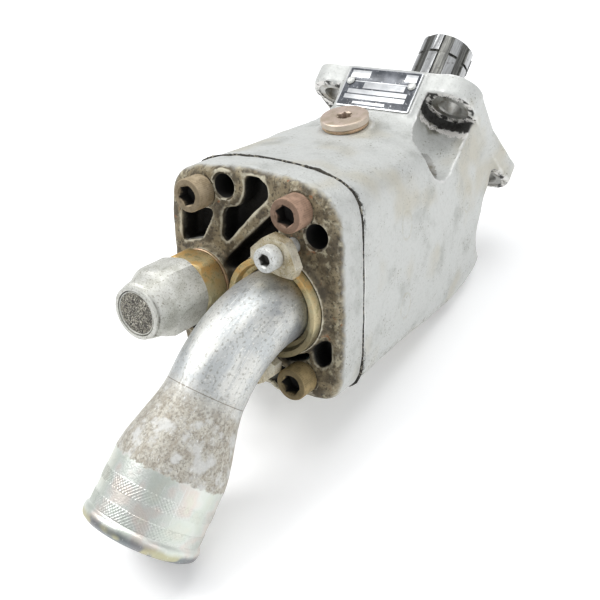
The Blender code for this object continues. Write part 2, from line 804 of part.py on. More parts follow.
def make_bearings(materials, root, shaft_axis):
    steel = materials["steel"]
    race_inner, race_outer = journal_radius + 5.5, bearing_radius - 4.4
    for name, start in (("rear", rear_bearing()), ("front", front_bearing())):
        cup_start, cup_end = start + 1.5, start + bearing_width
        cup = turned([(cup_start, race_outer + 0.4), (cup_start, bearing_radius), (cup_end, bearing_radius),
                      (cup_end, race_outer + 0.4)], 28)
        solid(f"{name}_bearing_cup", transformed(cup, shaft_frame()), steel, root)
        cone = turned([(start, journal_radius + gap), (start, race_inner - 0.4),
                       (start + bearing_width - 1, race_inner - 0.4),
                       (start + bearing_width - 1, journal_radius + gap)], 28)
        solid(f"{name}_bearing_cone", cone, steel, shaft_axis)
        rollers = roller_ring(race_inner, race_outer, start + 3, start + bearing_width - 3, 16)
        solid(f"{name}_bearing_rollers", rollers, steel, shaft_axis)
    start, end = rear_bearing() + bearing_width - 1 + gap, front_bearing() - gap
    bore, rim = journal_radius + gap, journal_radius + 4
    spacer = turned([(start, bore), (start, rim), (end, rim), (end, bore)], 24)
    solid("bearing_spacer", spacer, steel, shaft_axis)


def make_seal(materials, root):
    start = bearing_seat_end() + 0.8
    bore = journal_radius - 1 + gap
    seal = turned(
        [(start, bore + 3), (start, seal_radius), (start + seal_width, seal_radius),
         (start + seal_width, bore + 1.5), (start + 3.5, bore), (start + 2.5, bore)],
        28,
    )
    solid("shaft_seal", transformed(seal, shaft_frame()), materials["rubber"], root)
    ring_start = start + seal_width + gap
    ring = turned([(ring_start, seal_radius - 3.5), (ring_start, seal_radius - 0.1),
                   (ring_start + 1.2, seal_radius - 0.1), (ring_start + 1.2, seal_radius - 3.5)], 28)
    solid("seal_retaining_ring", transformed(ring, shaft_frame()), materials["steel"], root)


def make_plug(materials, root):
    bore, rim = plug_thread_radius + gap, plug_radius - 0.5
    washer = turned([(gap, bore), (gap, rim), (2, rim), (2, bore)], 24)
    solid("filler_plug_washer", transformed(washer, plug_frame()), materials["bronze"], root)
    seat = 2 + gap
    plug = turned(
        [(-9, 0), (-9, plug_thread_radius), (seat, plug_thread_radius), (seat, plug_radius), (seat + 3.2, plug_radius),
         (seat + 4, plug_radius - 0.8), (seat + 4, 5), (seat - 2, 5), (seat - 2, 0)],
        24, hexes=(6, 7),
    )
    solid("filler_plug", transformed(plug, plug_frame()), materials["plug"], root)


def make_rating_plate(materials, root):
    """A blank plate on the flat beside the flange, held by two rivets."""
    place = Matrix.Translation((face_distance + plate_middle, 0, plate_height))
    half_x, half_y = plate_width / 2, plate_length / 2
    bm = bmesh.new()
    bmesh.ops.create_cube(bm, size=1, matrix=Matrix.Diagonal((plate_width, plate_length, 0.8, 1)))
    bmesh.ops.translate(bm, vec=(0, 0, 0.4), verts=bm.verts)
    plate = solid("rating_plate", transformed(bm, shaft_frame() @ place), materials["plate"], root)
    rivet_y = half_y - 4
    for number, y in enumerate((-rivet_y, rivet_y), 1):
        up = Matrix.Translation((half_x - 10, y, 0)) @ Matrix.Rotation(-math.pi / 2, 4, "Y")
        hole = turned([(-3, 0), (-3, 1.2 + gap), (3, 1.2 + gap), (3, 0)], 10)
        carve(plate, transformed(hole, shaft_frame() @ place @ up), f"rivet_hole_{number}")
        rivet = turned([(0.1, 0), (0.1, 1.2), (0.8 + gap, 1.2), (0.8 + gap, 2.6), (1.6, 2.2), (2.1, 1.2), (2.2, 0)], 12)
        solid(f"rating_plate_rivet_{number}", transformed(rivet, shaft_frame() @ place @ up), materials["zinc"], root)


def hose_route():
    """Points, directions and run lengths of the hose fitting's centre line."""
    down = Vector((0, math.sin(hose_turn), -math.cos(hose_turn)))
    out = Vector((-1, 0, 0))
    start = Vector((cover_front + 5, suction_port.y, suction_port.z))
    points = [(start, out), (Vector((cover_front - collar_thickness - 4, start.y, start.z)), out)]
    bend_start = points[-1][0]
    steps = 6
    for k in range(1, steps + 1):
        turn = hose_bend_angle * k / steps
        place = bend_start + out * hose_bend_radius * math.sin(turn) + down * hose_bend_radius * (1 - math.cos(turn))
        points.append((place, out * math.cos(turn) + down * math.sin(turn)))
    return points


def make_hose_fitting(materials, root):
    """A bent suction tube that widens to a hose tail with a raised bead at its end."""
    stations = [(place, along, hose_tube_radius) for place, along in hose_route()]
    end, along, _ = stations[-1]
    tail = hose_straight + reducer_length
    length = tail + hose_tail_length
    runs = (
        (hose_straight, hose_tube_radius), (hose_straight + reducer_length * 0.35, hose_tube_radius + 1.6),
        (hose_straight + reducer_length * 0.7, hose_tail_radius - 1.8), (tail, hose_tail_radius),
        (length - 5, hose_tail_radius), (length - 3.5, hose_tail_radius + hose_bead),
        (length - 1.5, hose_tail_radius + hose_bead), (length, hose_tail_radius - 0.5),
    )
    stations += [(end + along * run, along, radius) for run, radius in runs]
    across = Vector((0, math.cos(hose_turn), math.sin(hose_turn)))

    def ring(place, direction, radius):
        side = direction.cross(across)
        turns = [math.tau * k / 22 for k in range(22)]
        return [place + (across * math.cos(t) + side * math.sin(t)) * radius for t in turns]

    rings = [ring(*station) for station in stations]
    inner = [station for k, station in enumerate(stations) if k not in (len(stations) - 2, len(stations) - 3)]
    rings += [ring(place, direction, radius - hose_tube_wall) for place, direction, radius in reversed(inner)]
    solid("suction_fitting", tube_loft(rings), materials["zinc"], root)
    seat = cover_front - 4 - gap
    collar = turned(
        [(seat, hose_tube_radius + gap), (seat, collar_radius), (seat - collar_thickness, collar_radius),
         (seat - collar_thickness, hose_tube_radius + gap)],
        30, centre=suction_port,
    )
    solid("suction_collar", collar, materials["yellow_zinc"], root)
    seal = turned([(cover_front + 4, hose_tube_radius + gap), (cover_front + 4, hose_tube_radius + 3.2),
                   (cover_front + 0.8, hose_tube_radius + 3.2), (cover_front + 0.8, hose_tube_radius + gap)],
                  28, centre=suction_port)
    carve(bpy.data.objects["end_cover"], turned(
        [(cover_front + 4.4, hose_tube_radius - 1), (cover_front + 4.4, hose_tube_radius + 3.5),
         (cover_front + 0.4, hose_tube_radius + 3.5), (cover_front + 0.4, hose_tube_radius - 1)],
        28, centre=suction_port), "o_ring_groove")
    solid("suction_o_ring", seal, materials["rubber"], root)


def clamp_places():
    """(y, z) of the two clamp screws, opposite each other across the suction port."""
    places = []
    for half in (0.0, math.pi):
        angle = clamp_angle + half
        places.append((suction_port.y - clamp_circle * math.sin(angle), suction_port.z + clamp_circle * math.cos(angle)))
    return places


def make_clamps(materials, root):
    """Wedge clamps that hold the collar down, each with its own screw."""
    seat = cover_front - 4 - collar_thickness - 2 * gap
    front = seat - clamp_thickness
    screw = cap_screw(6.5, 8.0, clamp_screw_radius, 24.0, 6.0)
    first = solid("clamp_screw_1", screw, materials["zinc"], root)
    places = clamp_places()
    copy_of(first, "clamp_screw_2", (front - gap, *places[1]))
    first.location = Vector((front - gap, *places[0])) * to_metres
    for number, (y, z) in enumerate(places, 1):
        outward = Vector((y - suction_port.y, z - suction_port.z)).normalized()
        across = Vector((-outward.y, outward.x))
        outline = []
        for along, wide in ((8.5, -7), (8.5, 7), (-2, 14), (-7.5, 13), (-9.5, 0), (-7.5, -13), (-2, -14)):
            point = Vector((y, z)) + outward * along + across * wide
            outline.append((point.x, point.y))
        clamp = solid(f"suction_clamp_{number}", prism(outline, seat, front), materials["zinc"], root)
        bore = clamp_screw_radius + gap
        hole = turned([(seat + 5, 0), (seat + 5, bore), (front - 5, bore), (front - 5, 0)], 12, centre=(0, y, z))
        carve(clamp, hole, "screw_hole")


def make_pressure_fitting(materials, root):
    """Adapter, sealing washer, cap nut and the cone plug that it holds."""
    seat = cover_front - 4
    washer = turned([(seat - gap, pressure_thread_radius + gap), (seat - gap, adapter_washer_radius), (seat - 2, adapter_washer_radius),
                     (seat - 2, pressure_thread_radius + gap)], 24, centre=pressure_port)
    solid("adapter_washer", washer, materials["bronze"], root)
    base = seat - 2 - gap
    flats, stub = adapter_flats / 2, cap_flats / 2 - 3.5
    nut_flats = cap_flats / 2
    hexed = base - adapter_length
    adapter = turned(
        [(cover_front + 10, 8), (cover_front + 10, pressure_thread_radius), (base, pressure_thread_radius),
         (base, flats), (hexed, flats), (hexed, stub), (hexed - 10, stub), (hexed - 12, 8)],
        24, hexes=(3, 4), centre=pressure_port,
    )
    solid("pressure_adapter", adapter, materials["yellow_zinc"], root)
    nut = hexed - gap
    front = nut - cap_length
    hole = 12.3
    hex_end = nut - cap_hex_length
    nut_body = turned(
        [(nut, stub + gap), (nut, nut_flats), (hex_end, nut_flats), (hex_end - 2, nut_flats - 0.5),
         (hex_end - 5, 16), (front + 2.5, 15), (front + 1, 14.4), (front, 14), (front, hole), (front + 14, hole),
         (front + 16, stub + gap)],
        24, hexes=(1, 2), centre=pressure_port,
    )
    solid("cap_nut", nut_body, materials["zinc"], root)
    plug = turned([(front + 0.6, 0), (front + 0.6, hole - gap - 0.4), (front + 1, hole - gap),
                   (front + 18, hole - gap), (front + 18, 0)], 24, centre=pressure_port)
    solid("cap_plug", plug, materials["zinc"], root)


def make_dowel(finish, root):
    back = valve_plate_front - valve_plate_thickness
    place = (0, 0, dowel_circle)
    pin = turned([(back + 2.5, 0), (back + 2.5, 2), (cover_back - 4, 2), (cover_back - 4, 0)], 12, centre=place)
    solid("valve_plate_dowel", pin, finish, root)
    carve(bpy.data.objects["end_cover"], turned(
        [(cover_back + 5, 0), (cover_back + 5, 2.3), (cover_back - 5, 2.3), (cover_back - 5, 0)],
        12, centre=place), "dowel_hole")


def world_points(name):
    bpy.context.view_layer.update()
    found = bpy.data.objects[name].evaluated_get(bpy.context.evaluated_depsgraph_get())
    return [found.matrix_world @ vert.co for vert in found.data.vertices]


def rest_on_floor(root):
    """Tilts the pump about Y until its casing and hose fitting reach the floor together,
    then puts the middle of its footprint at the origin."""
    casing, fitting = world_points("bearing_housing"), world_points("suction_fitting")
    low, high = 0.0, math.radians(40)
    for _ in range(40):
        tilt = (low + high) / 2
        turn = Matrix.Rotation(tilt, 4, "Y")
        lowest = [min((turn @ point).z for point in points) for points in (casing, fitting)]
        if lowest[1] < lowest[0]:
            low = tilt
        else:
            high = tilt
    root.matrix_local = Matrix.Rotation(tilt, 4, "Y")
    everything = []
    for made in bpy.data.objects:
        if made.type == "MESH" and not made.hide_render:
            everything += world_points(made.name)
    corners = [(min(p[i] for p in everything), max(p[i] for p in everything)) for i in range(3)]
    shift = Vector((-sum(corners[0]) / 2, -sum(corners[1]) / 2, -corners[2][0]))
    root.matrix_local = Matrix.Translation(shift) @ Matrix.Rotation(tilt, 4, "Y")


def build_pump():
    clear_scene()
    materials = make_materials()
    root = empty("pump_frame")
    shaft_axis = empty("shaft_axis", root, shaft_frame())
    barrel_axis = empty("barrel_axis", root)
    make_housing(materials["casing"], root)
    make_cover(materials["cover"], root)
    make_gasket(materials["sealant"], root)
    make_cover_screws(materials["rusted"], root)
    make_valve_plate(materials, root)
    make_dowel(materials["steel"], root)
    make_barrel(materials, barrel_axis)
    make_pistons(materials["steel"], barrel_axis)
    make_centre_pin(materials, barrel_axis)
    make_gears(materials["steel"], shaft_axis, barrel_axis)
    make_shaft(materials["steel"], shaft_axis)
    make_bearings(materials, root, shaft_axis)
    make_seal(materials, root)
    make_plug(materials, root)
    make_rating_plate(materials, root)
    make_hose_fitting(materials, root)
    make_clamps(materials, root)
    make_pressure_fitting(materials, root)
    rest_on_floor(root)


build_pump()
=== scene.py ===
# Looks of a bent-axis axial piston pump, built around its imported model.
import json
import math

import bmesh
import bpy
import numpy as np
from mathutils import Matrix, Vector, noise
from mathutils.bvhtree import BVHTree


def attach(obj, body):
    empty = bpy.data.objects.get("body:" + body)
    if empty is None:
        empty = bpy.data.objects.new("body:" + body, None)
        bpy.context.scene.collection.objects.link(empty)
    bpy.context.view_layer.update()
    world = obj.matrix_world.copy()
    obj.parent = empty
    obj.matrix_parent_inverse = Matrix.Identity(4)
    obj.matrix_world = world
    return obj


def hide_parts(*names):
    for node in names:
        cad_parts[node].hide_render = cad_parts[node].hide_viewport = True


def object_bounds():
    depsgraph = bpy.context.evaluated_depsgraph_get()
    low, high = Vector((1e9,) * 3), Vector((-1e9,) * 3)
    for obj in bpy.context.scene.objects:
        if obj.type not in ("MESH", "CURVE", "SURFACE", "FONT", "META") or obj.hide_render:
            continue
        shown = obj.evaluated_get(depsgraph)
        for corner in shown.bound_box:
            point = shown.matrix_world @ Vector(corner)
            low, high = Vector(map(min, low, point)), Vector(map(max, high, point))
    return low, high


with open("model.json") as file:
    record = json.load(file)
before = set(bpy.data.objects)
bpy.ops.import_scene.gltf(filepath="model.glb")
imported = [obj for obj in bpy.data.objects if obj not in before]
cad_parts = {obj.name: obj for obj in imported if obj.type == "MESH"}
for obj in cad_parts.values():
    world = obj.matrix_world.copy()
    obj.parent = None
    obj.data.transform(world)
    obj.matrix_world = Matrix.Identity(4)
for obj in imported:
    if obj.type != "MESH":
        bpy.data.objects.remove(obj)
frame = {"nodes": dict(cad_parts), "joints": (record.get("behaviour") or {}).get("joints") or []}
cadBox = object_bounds()
print("frame loaded")


joints = {joint["name"]: joint for joint in frame["joints"]}
crossing = Vector(joints["barrel_turn"]["pos_m"])  # where the shaft and barrel axes meet
acrossWay = Vector((0, 1, 0))


def axisFrame(jointName):  # millimetres along a joint's axis, from the crossing, to metres
    along = Vector(joints[jointName]["axis"]).normalized()
    turned = Matrix((along, acrossWay, along.cross(acrossWay))).transposed().to_4x4()
    return Matrix.Translation(crossing) @ turned @ Matrix.Scale(0.001, 4)


pump = axisFrame("barrel_turn")
shaft = axisFrame("shaft_turn")
shaftInPump = pump.inverted() @ shaft
bendAngle = math.acos(Vector(joints["barrel_turn"]["axis"]).dot(Vector(joints["shaft_turn"]["axis"])))


def bevelled(bm, width, angle=28, segments=3):
    sharp = [edge for edge in bm.edges if edge.calc_face_angle(0) > math.radians(angle)]
    bmesh.ops.bevel(bm, geom=sharp, offset=width, affect="EDGES", segments=segments, profile=0.5, material=-1,
                    clamp_overlap=True)
    return bm


def tidied(bm):
    bmesh.ops.remove_doubles(bm, verts=bm.verts, dist=1e-3)
    bmesh.ops.recalc_face_normals(bm, faces=bm.faces)
    return bm


def spun(profile, steps=96, centre=(0, 0, 0)):  # (x, radius) points turned about X
    bm = bmesh.new()
    dots = [bm.verts.new((x, 0, radius)) for x, radius in profile]
    lines = [bm.edges.new(pair) for pair in zip(dots, dots[1:])]
    if profile[0][1] > 0:
        lines.append(bm.edges.new((dots[-1], dots[0])))
    bmesh.ops.spin(bm, geom=dots + lines, cent=(0, 0, 0), axis=(1, 0, 0), angle=math.tau, steps=steps,
                   use_merge=True)
    bmesh.ops.translate(bm, vec=centre, verts=bm.verts)
    return tidied(bm)


def bar(start, end, radius):  # the profile of a plain round bar
    return [(start, 0), (start, radius), (end, radius), (end, 0)]


def slab(outline, start, end):  # a (y, z) outline extruded along X
    bm = bmesh.new()
    face = bm.faces.new([bm.verts.new((start, y, z)) for y, z in outline])
    grown = bmesh.ops.extrude_face_region(bm, geom=[face])
    moved = [item for item in grown["geom"] if isinstance(item, bmesh.types.BMVert)]
    bmesh.ops.translate(bm, vec=(end - start, 0, 0), verts=moved)
    return tidied(bm)


def box(low, high):
    middle = Matrix.Translation([(a + b) / 2 for a, b in zip(low, high)])
    size = Matrix.Diagonal([b - a for a, b in zip(low, high)] + [1])
    bm = bmesh.new()
    bmesh.ops.create_cube(bm, size=1, matrix=middle @ size)
    return bm


def cornerRadius(flats):
    return flats / 2 / math.cos(math.radians(30))


def hexBar(flats, start, end, turn=0.0):
    corner = cornerRadius(flats)
    angles = [math.radians(60 * k) + turn for k in range(6)]
    return slab([(corner * math.sin(a), corner * math.cos(a)) for a in angles], start, end)


def moved(bm, matrix):
    bmesh.ops.transform(bm, matrix=matrix, verts=bm.verts)
    return bm


def shifted(bm, vec):
    bmesh.ops.translate(bm, vec=vec, verts=bm.verts)
    return bm


def edgesOf(dots):
    return list({edge for dot in dots for edge in dot.link_edges})


def ringLoop(bm, ring):  # the edges of a closed loop through the ring's points
    dots = bmesh.ops.create_circle(bm, segments=len(ring), radius=1)["verts"]
    for dot, point in zip(dots, ring):
        dot.co = point
    return edgesOf(dots)


def bridged(bm, loops):  # each loop joined to the next
    for first, second in zip(loops, loops[1:]):
        bmesh.ops.bridge_loops(bm, edges=first + second)
    return bm


def stretched(rings, segments):  # circles, given as (matrix, radius), bridged round to the first
    bm = bmesh.new()
    loops = []
    for matrix, radius in rings:
        circle = bmesh.ops.create_circle(bm, segments=segments, radius=radius, matrix=matrix)
        loops.append(edgesOf(circle["verts"]))
    return bridged(bm, loops + loops[:1])


def temporary(bm):
    mesh = bpy.data.meshes.new("temporary")
    bm.to_mesh(mesh)
    bm.free()
    made = bpy.data.objects.new("temporary", mesh)
    bpy.context.scene.collection.objects.link(made)
    return made


def evaluated(made):  # the object's mesh with its modifiers applied, as a bmesh
    bm = bmesh.new()
    bm.from_object(made, bpy.context.evaluated_depsgraph_get())
    bpy.data.objects.remove(made)
    return bm


def combined(bm, tool, operation="DIFFERENCE", solver="MANIFOLD"):
    base, other = temporary(bm), temporary(tool)
    modifier = base.modifiers.new("combine", "BOOLEAN")
    modifier.operation = operation
    modifier.solver = solver
    modifier.object = other
    made = evaluated(base)
    bpy.data.objects.remove(other)
    return made


def cutAway(bm, tools):
    for tool in tools:
        bm = combined(bm, tool)
    return bm


def castSkin(bm, voxel, passes):  # melts joined shapes into one casting with soft fillets
    made = temporary(bm)
    melt = made.modifiers.new("melt", "REMESH")
    melt.mode = "VOXEL"
    melt.voxel_size = voxel
    soften = made.modifiers.new("soften", "SMOOTH")
    soften.factor = 0.5
    soften.iterations = passes
    return evaluated(made)


def roughCast(bm, depth, size):  # the uneven surface of sand casting
    bm.normal_update()
    for vert in bm.verts:
        vert.co += vert.normal * depth * noise.noise(vert.co / size)
    return bm


def readValues(items, name, width, kind=float):
    values = np.empty(len(items) * width, kind)
    items.foreach_get(name, values)
    return values.reshape(-1, width)


def writeValues(piece, name, values):
    layer = piece.data.attributes.new(name, "FLOAT", "POINT")
    layer.data.foreach_set("value", np.asarray(values, np.float32))


def occlusionAndEdgeMaps(piece, reach, rays=14):
    # "shut" is how shut-in a point is, from 0 in the open to 1, and the finishes paint shade and dirt by it;
    # "edge" is above 0 on convex edges
    mesh = piece.data
    mesh.calc_loop_triangles()
    tree = BVHTree.FromPolygons([v.co for v in mesh.vertices], [t.vertices for t in mesh.loop_triangles])
    ways = []
    for k in range(rays):
        up = 0.25 + 0.7 * k / rays
        turn, flat = k * 2.39996, math.sqrt(1 - up * up)
        ways.append(Vector((flat * math.cos(turn), flat * math.sin(turn), up)))
    shut = []
    for vert in mesh.vertices:
        turned = vert.normal.to_track_quat("Z", "Y")
        start = vert.co + vert.normal * reach * 0.02
        hits = sum(tree.ray_cast(start, turned @ way, reach)[0] is not None for way in ways)
        shut.append(hits / rays)
    count = len(mesh.vertices)
    points, normals = readValues(mesh.vertices, "co", 3), readValues(mesh.vertices, "normal", 3)
    a, b = readValues(mesh.edges, "vertices", 2, np.int32).T
    across = points[b] - points[a]
    length = np.linalg.norm(across, axis=1) + 1e-9
    spread = np.zeros(count)
    np.add.at(spread, a, -(across * normals[a]).sum(1) / length)
    np.add.at(spread, b, (across * normals[b]).sum(1) / length)
    near = np.bincount(a, minlength=count) + np.bincount(b, minlength=count)
    edge = spread / np.maximum(near, 1)
    shut = np.array(shut)
    for _ in range(2):  # a slight blur
        for values in (edge, shut):
            total = np.zeros(count)
            np.add.at(total, a, values[b])
            np.add.at(total, b, values[a])
            values[:] = 0.5 * values + 0.5 * total / np.maximum(near, 1)
    writeValues(piece, "shut", shut)
    writeValues(piece, "edge", edge)


def heldIn(bm):  # no point goes outside the CAD's own box
    for vert in bm.verts:
        vert.co = [min(max(value, low), high) for value, low, high in zip(vert.co, *cadBox)]
    return bm


def piece(name, bm, place, body, finishes, slotName, nodes, crease=35,
          reach=None):  # reach, in metres, is for occlusionAndEdgeMaps
    mesh = bpy.data.meshes.new(name)
    heldIn(moved(bm, place)).to_mesh(mesh)
    bm.free()
    made = bpy.data.objects.new(name, mesh)
    bpy.context.scene.collection.objects.link(made)
    for finish in finishes:
        mesh.materials.append(finish)
    mesh.shade_smooth()
    mesh.set_sharp_from_angle(angle=math.radians(crease))
    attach(made, body)
    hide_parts(*nodes)
    if reach:
        occlusionAndEdgeMaps(made, reach)
    print("made", name, len(mesh.polygons))


class Wire:  # a node's output that takes part in Python sums
    def __init__(self, finish, socket):
        self.finish, self.socket = finish, socket

    def sum(self, operation, first, second, clamp=False):
        return self.finish.add("ShaderNodeMath", {"operation": operation, "use_clamp": clamp},
                               {0: first, 1: second})

    def __add__(self, other):
        return self.sum("ADD", self, other)

    def __radd__(self, other):
        return self.sum("ADD", other, self)

    def __sub__(self, other):
        return self.sum("SUBTRACT", self, other)

    def __rsub__(self, other):
        return self.sum("SUBTRACT", other, self)

    def __mul__(self, other):
        return self.sum("MULTIPLY", self, other)

    def __rmul__(self, other):
        return self.sum("MULTIPLY", other, self)

    def __pow__(self, other):
        return self.sum("POWER", self, other)


class Finish:  # a material under construction
    def __init__(self, name, place=pump):
        self.material = bpy.data.materials.new(name)
        self.material.use_nodes = True
        self.tree = self.material.node_tree
        self.shader = self.tree.nodes["Principled BSDF"]
        inverse = place.inverted()
        here = self.add("ShaderNodeTexCoord", out="Object")
        self.spot = self.add("ShaderNodeMapping", {"vector_type": "POINT"}, {
            "Vector": here, "Location": inverse.translation, "Rotation": inverse.to_euler(),
            "Scale": inverse.to_scale(),
        })  # millimetres in the given frame

    def add(self, kind, settings=None, sockets=None, out=0):
        node = self.tree.nodes.new(kind)
        for key, value in (settings or {}).items():
            if key == "stops":
                self.setStops(node.color_ramp, value)
            else:
                setattr(node, key, value)
        for key, value in (sockets or {}).items():
            if isinstance(value, Wire):
                self.tree.links.new(value.socket, node.inputs[key])
            else:
                node.inputs[key].default_value = value
        return Wire(self, node.outputs[out])

    def setStops(self, ramp, stops):
        while len(ramp.elements) < len(stops):
            ramp.elements.new(0.5)
        for element, (position, colour) in zip(ramp.elements, stops):
            element.position = position
            element.color = (*colour, 1)

    def noise(self, size, detail=4.0, rough=0.6, where=None, twist=0.0):
        return self.add("ShaderNodeTexNoise", {}, {
            "Vector": where or self.spot, "Scale": 1 / size, "Detail": detail, "Roughness": rough,
            "Distortion": twist})

    def between(self, value, low, high):  # 0 below low, 1 above high, smooth between
        return self.add("ShaderNodeMapRange", {"interpolation_type": "SMOOTHSTEP"},
                        {"Value": value, "From Min": low, "From Max": high})

    def patches(self, size, low, high, **more):
        return self.between(self.noise(size, **more), low, high)

    def stained(self, tone, colour, amount, size, low, high, **more):  # patches of another colour
        return self.mix(self.patches(size, low, high, **more) * amount, tone, colour)

    def stretch(self, scale, where=None):
        return self.add("ShaderNodeMapping", {"vector_type": "POINT"},
                        {"Vector": where or self.spot, "Scale": scale})

    def parts(self, where=None):  # x, y, z of a vector
        first = self.add("ShaderNodeSeparateXYZ", {}, {"Vector": where or self.spot})
        return [Wire(self, output) for output in first.socket.node.outputs]

    def value(self, name, out="Fac"):  # a mesh's own attribute
        return self.add("ShaderNodeAttribute", {"attribute_name": name}, {}, out)

    def mix(self, factor, first, second, blend="MIX"):
        sockets = {0: factor}
        for key, colour in ((6, first), (7, second)):
            sockets[key] = colour if isinstance(colour, Wire) else (*colour, 1)
        return self.add("ShaderNodeMix", {"data_type": "RGBA", "blend_type": blend}, sockets, 2)

    def limit(self, value):
        return value.sum("ADD", value, 0.0, clamp=True)

    def done(self, colour, roughness, metallic, height=None, strength=0.3, depth=0.001, **plain):
        inputs = self.shader.inputs
        for name, value in (("Base Color", colour), ("Roughness", roughness), ("Metallic", metallic)):
            if isinstance(value, Wire):
                self.tree.links.new(value.socket, inputs[name])
            else:
                inputs[name].default_value = value if name != "Base Color" else (*value, 1)
        for name, value in plain.items():
            inputs[name.replace("_", " ")].default_value = value
        if height:
            bump = self.add("ShaderNodeBump", {}, {"Height": height, "Strength": strength, "Distance": depth})
            self.tree.links.new(bump.socket, inputs["Normal"])
        return self.material


paintTones = {"clean": (0.57, 0.58, 0.56), "warm": (0.51, 0.485, 0.405), "dull": (0.38, 0.39, 0.365),
              "soilAndShade": (0.045, 0.042, 0.032), "crustAndShade": (0.20, 0.19, 0.145), "bare": (0.80, 0.80, 0.78)}


def paintedColour(finish):  # silver paint that has yellowed, worn and caught dirt, with painted shade in its recesses
    tone = finish.mix(finish.patches(45, 0.50, 0.66, detail=2) * 0.8, paintTones["clean"], paintTones["warm"])
    tone = finish.stained(tone, paintTones["dull"], 0.9, 16, 0.48, 0.80, detail=8)
    tone = finish.stained(tone, paintTones["dull"], 0.35, 1.8, 0.45, 0.75, detail=6)
    shut, edge = finish.value("shut"), finish.value("edge")
    speckle = finish.patches(1.3, 0.60, 0.66, detail=3) * finish.patches(15, 0.44, 0.62)
    tone = finish.mix(speckle * 0.8, tone, paintTones["crustAndShade"])
    dots = finish.patches(1.0, 0.70, 0.73, detail=2) * finish.patches(24, 0.40, 0.60)
    tone = finish.mix(dots * 0.9, tone, paintTones["soilAndShade"])
    # dirt and painted shade in recesses: the shut map darkens them towards the crust tone
    crustAndShade = finish.between(shut + finish.noise(7, 6) * 0.7, 0.62, 0.95)
    tone = finish.mix(crustAndShade * 0.8, tone, paintTones["crustAndShade"])
    # painted shade: the deepest recesses go near-black
    tone = finish.mix(finish.between(shut + finish.noise(3, 5) * 0.4, 0.72, 0.98), tone, paintTones["soilAndShade"])
    worn = finish.between(edge + finish.noise(4, 5) * 0.12 - 0.06, 0.05, 0.14)
    tone = finish.mix(worn * 0.7, tone, paintTones["bare"])
    return tone, crustAndShade, worn


def castingHeight(finish, grain):
    return finish.noise(grain, 5) + finish.noise(grain * 6, 3) * 1.5 + finish.patches(2.2, 0.62, 0.7) * -0.8


mouldMarks = ((16.0, 13.0), (-65.0, 21.6), (-64.0, -26.5))  # oval rings on the casing's side, as (x, z)


def makePaint():
    finish = Finish("silverPaint")
    tone, crustAndShade, worn = paintedColour(finish)
    x, y, z = finish.parts()
    # sealant dragged along the joint's corners
    smear = finish.between(finish.noise(5, 6) * 9 - x, 111.5, 114.0)
    ends = finish.limit(finish.between(z, 26, 40) + finish.between(z * -1, 30, 42))
    smear = smear * finish.between(y * -1, 44, 52) * finish.patches(1.2, 0.44, 0.52, detail=4) * ends
    tone = finish.mix(smear, tone, (0.035, 0.038, 0.032))
    foot = finish.between(finish.noise(6, 6) * 14 - z, 52.0, 60.0)
    tone = finish.mix(foot * finish.patches(2.5, 0.46, 0.60, detail=6) * 0.8, tone, paintTones["crustAndShade"])
    rings = 0.0
    for markX, markZ in mouldMarks:
        away = ((x - markX) * (x - markX) * 1.9 + (z - markZ) * (z - markZ)) ** 0.5
        ring = finish.between(away, 6.6, 7.4) - finish.between(away, 7.8, 8.8)
        rings = rings + ring * finish.between(y * -1, 40, 46)
    tone = finish.mix(rings * finish.patches(4, 0.35, 0.55) * 0.5, tone, paintTones["warm"])
    tone = pocketGunkAndShade(finish, tone)
    return finish.done(tone, 0.46 + crustAndShade * 0.3 + finish.noise(2.5) * 0.15, 0.30 + worn * 0.3,
                       castingHeight(finish, 1.3) + rings * 1.6, 0.4, 0.0006)


def pocketGunkAndShade(finish, tone):  # old sealant and white residue round the bolt holes' back, with near-black painted shade on the pocket walls under the ears
    place = shaftInPump.inverted()
    there = finish.add("ShaderNodeMapping", {"vector_type": "POINT"}, {
        "Vector": finish.spot, "Location": place.translation, "Rotation": place.to_euler()})
    x, y, z = finish.parts(there)
    fromY, fromZ = y.sum("ABSOLUTE", y, 0.0) - 40.0, z.sum("ABSOLUTE", z, 0.0) - 40.0
    away = (fromY * fromY + fromZ * fromZ) ** 0.5
    near = (1 - finish.between(away, 16.6, 18.5)) * (1 - finish.between(x, 56.9, 57.4))
    level = x + finish.noise(5, 6) * 8
    residue = finish.between(level, 49.5, 50.5) * near
    tone = finish.mix(residue * finish.patches(3, 0.40, 0.50, detail=5), tone, (0.82, 0.80, 0.77))
    bare = finish.between(x, 56.2, 56.45) * finish.patches(5, 0.42, 0.52, detail=5)
    # near-black: old sealant on the ear backs, painted shade on the pocket walls under them
    black = finish.between(level, 53.5, 55.0) * near * (1 - bare)
    return finish.mix(black * 0.96, tone, (0.022, 0.022, 0.020))


def makeMachined():
    finish = Finish("machinedCasting", shaft)
    rings = finish.add("ShaderNodeTexWave", {"wave_type": "RINGS", "rings_direction": "X"},
                       {"Vector": finish.spot, "Scale": 1.1, "Distortion": 0.4, "Detail": 1.0})
    tone = finish.mix(finish.patches(9, 0.45, 0.7, detail=5), (0.46, 0.46, 0.44), (0.24, 0.22, 0.18))
    tone = finish.stained(tone, (0.10, 0.09, 0.07), 0.7, 1.3, 0.6, 0.7)
    return finish.done(tone, 0.38 + finish.noise(3) * 0.2, 0.85, rings, 0.12, 0.0002)


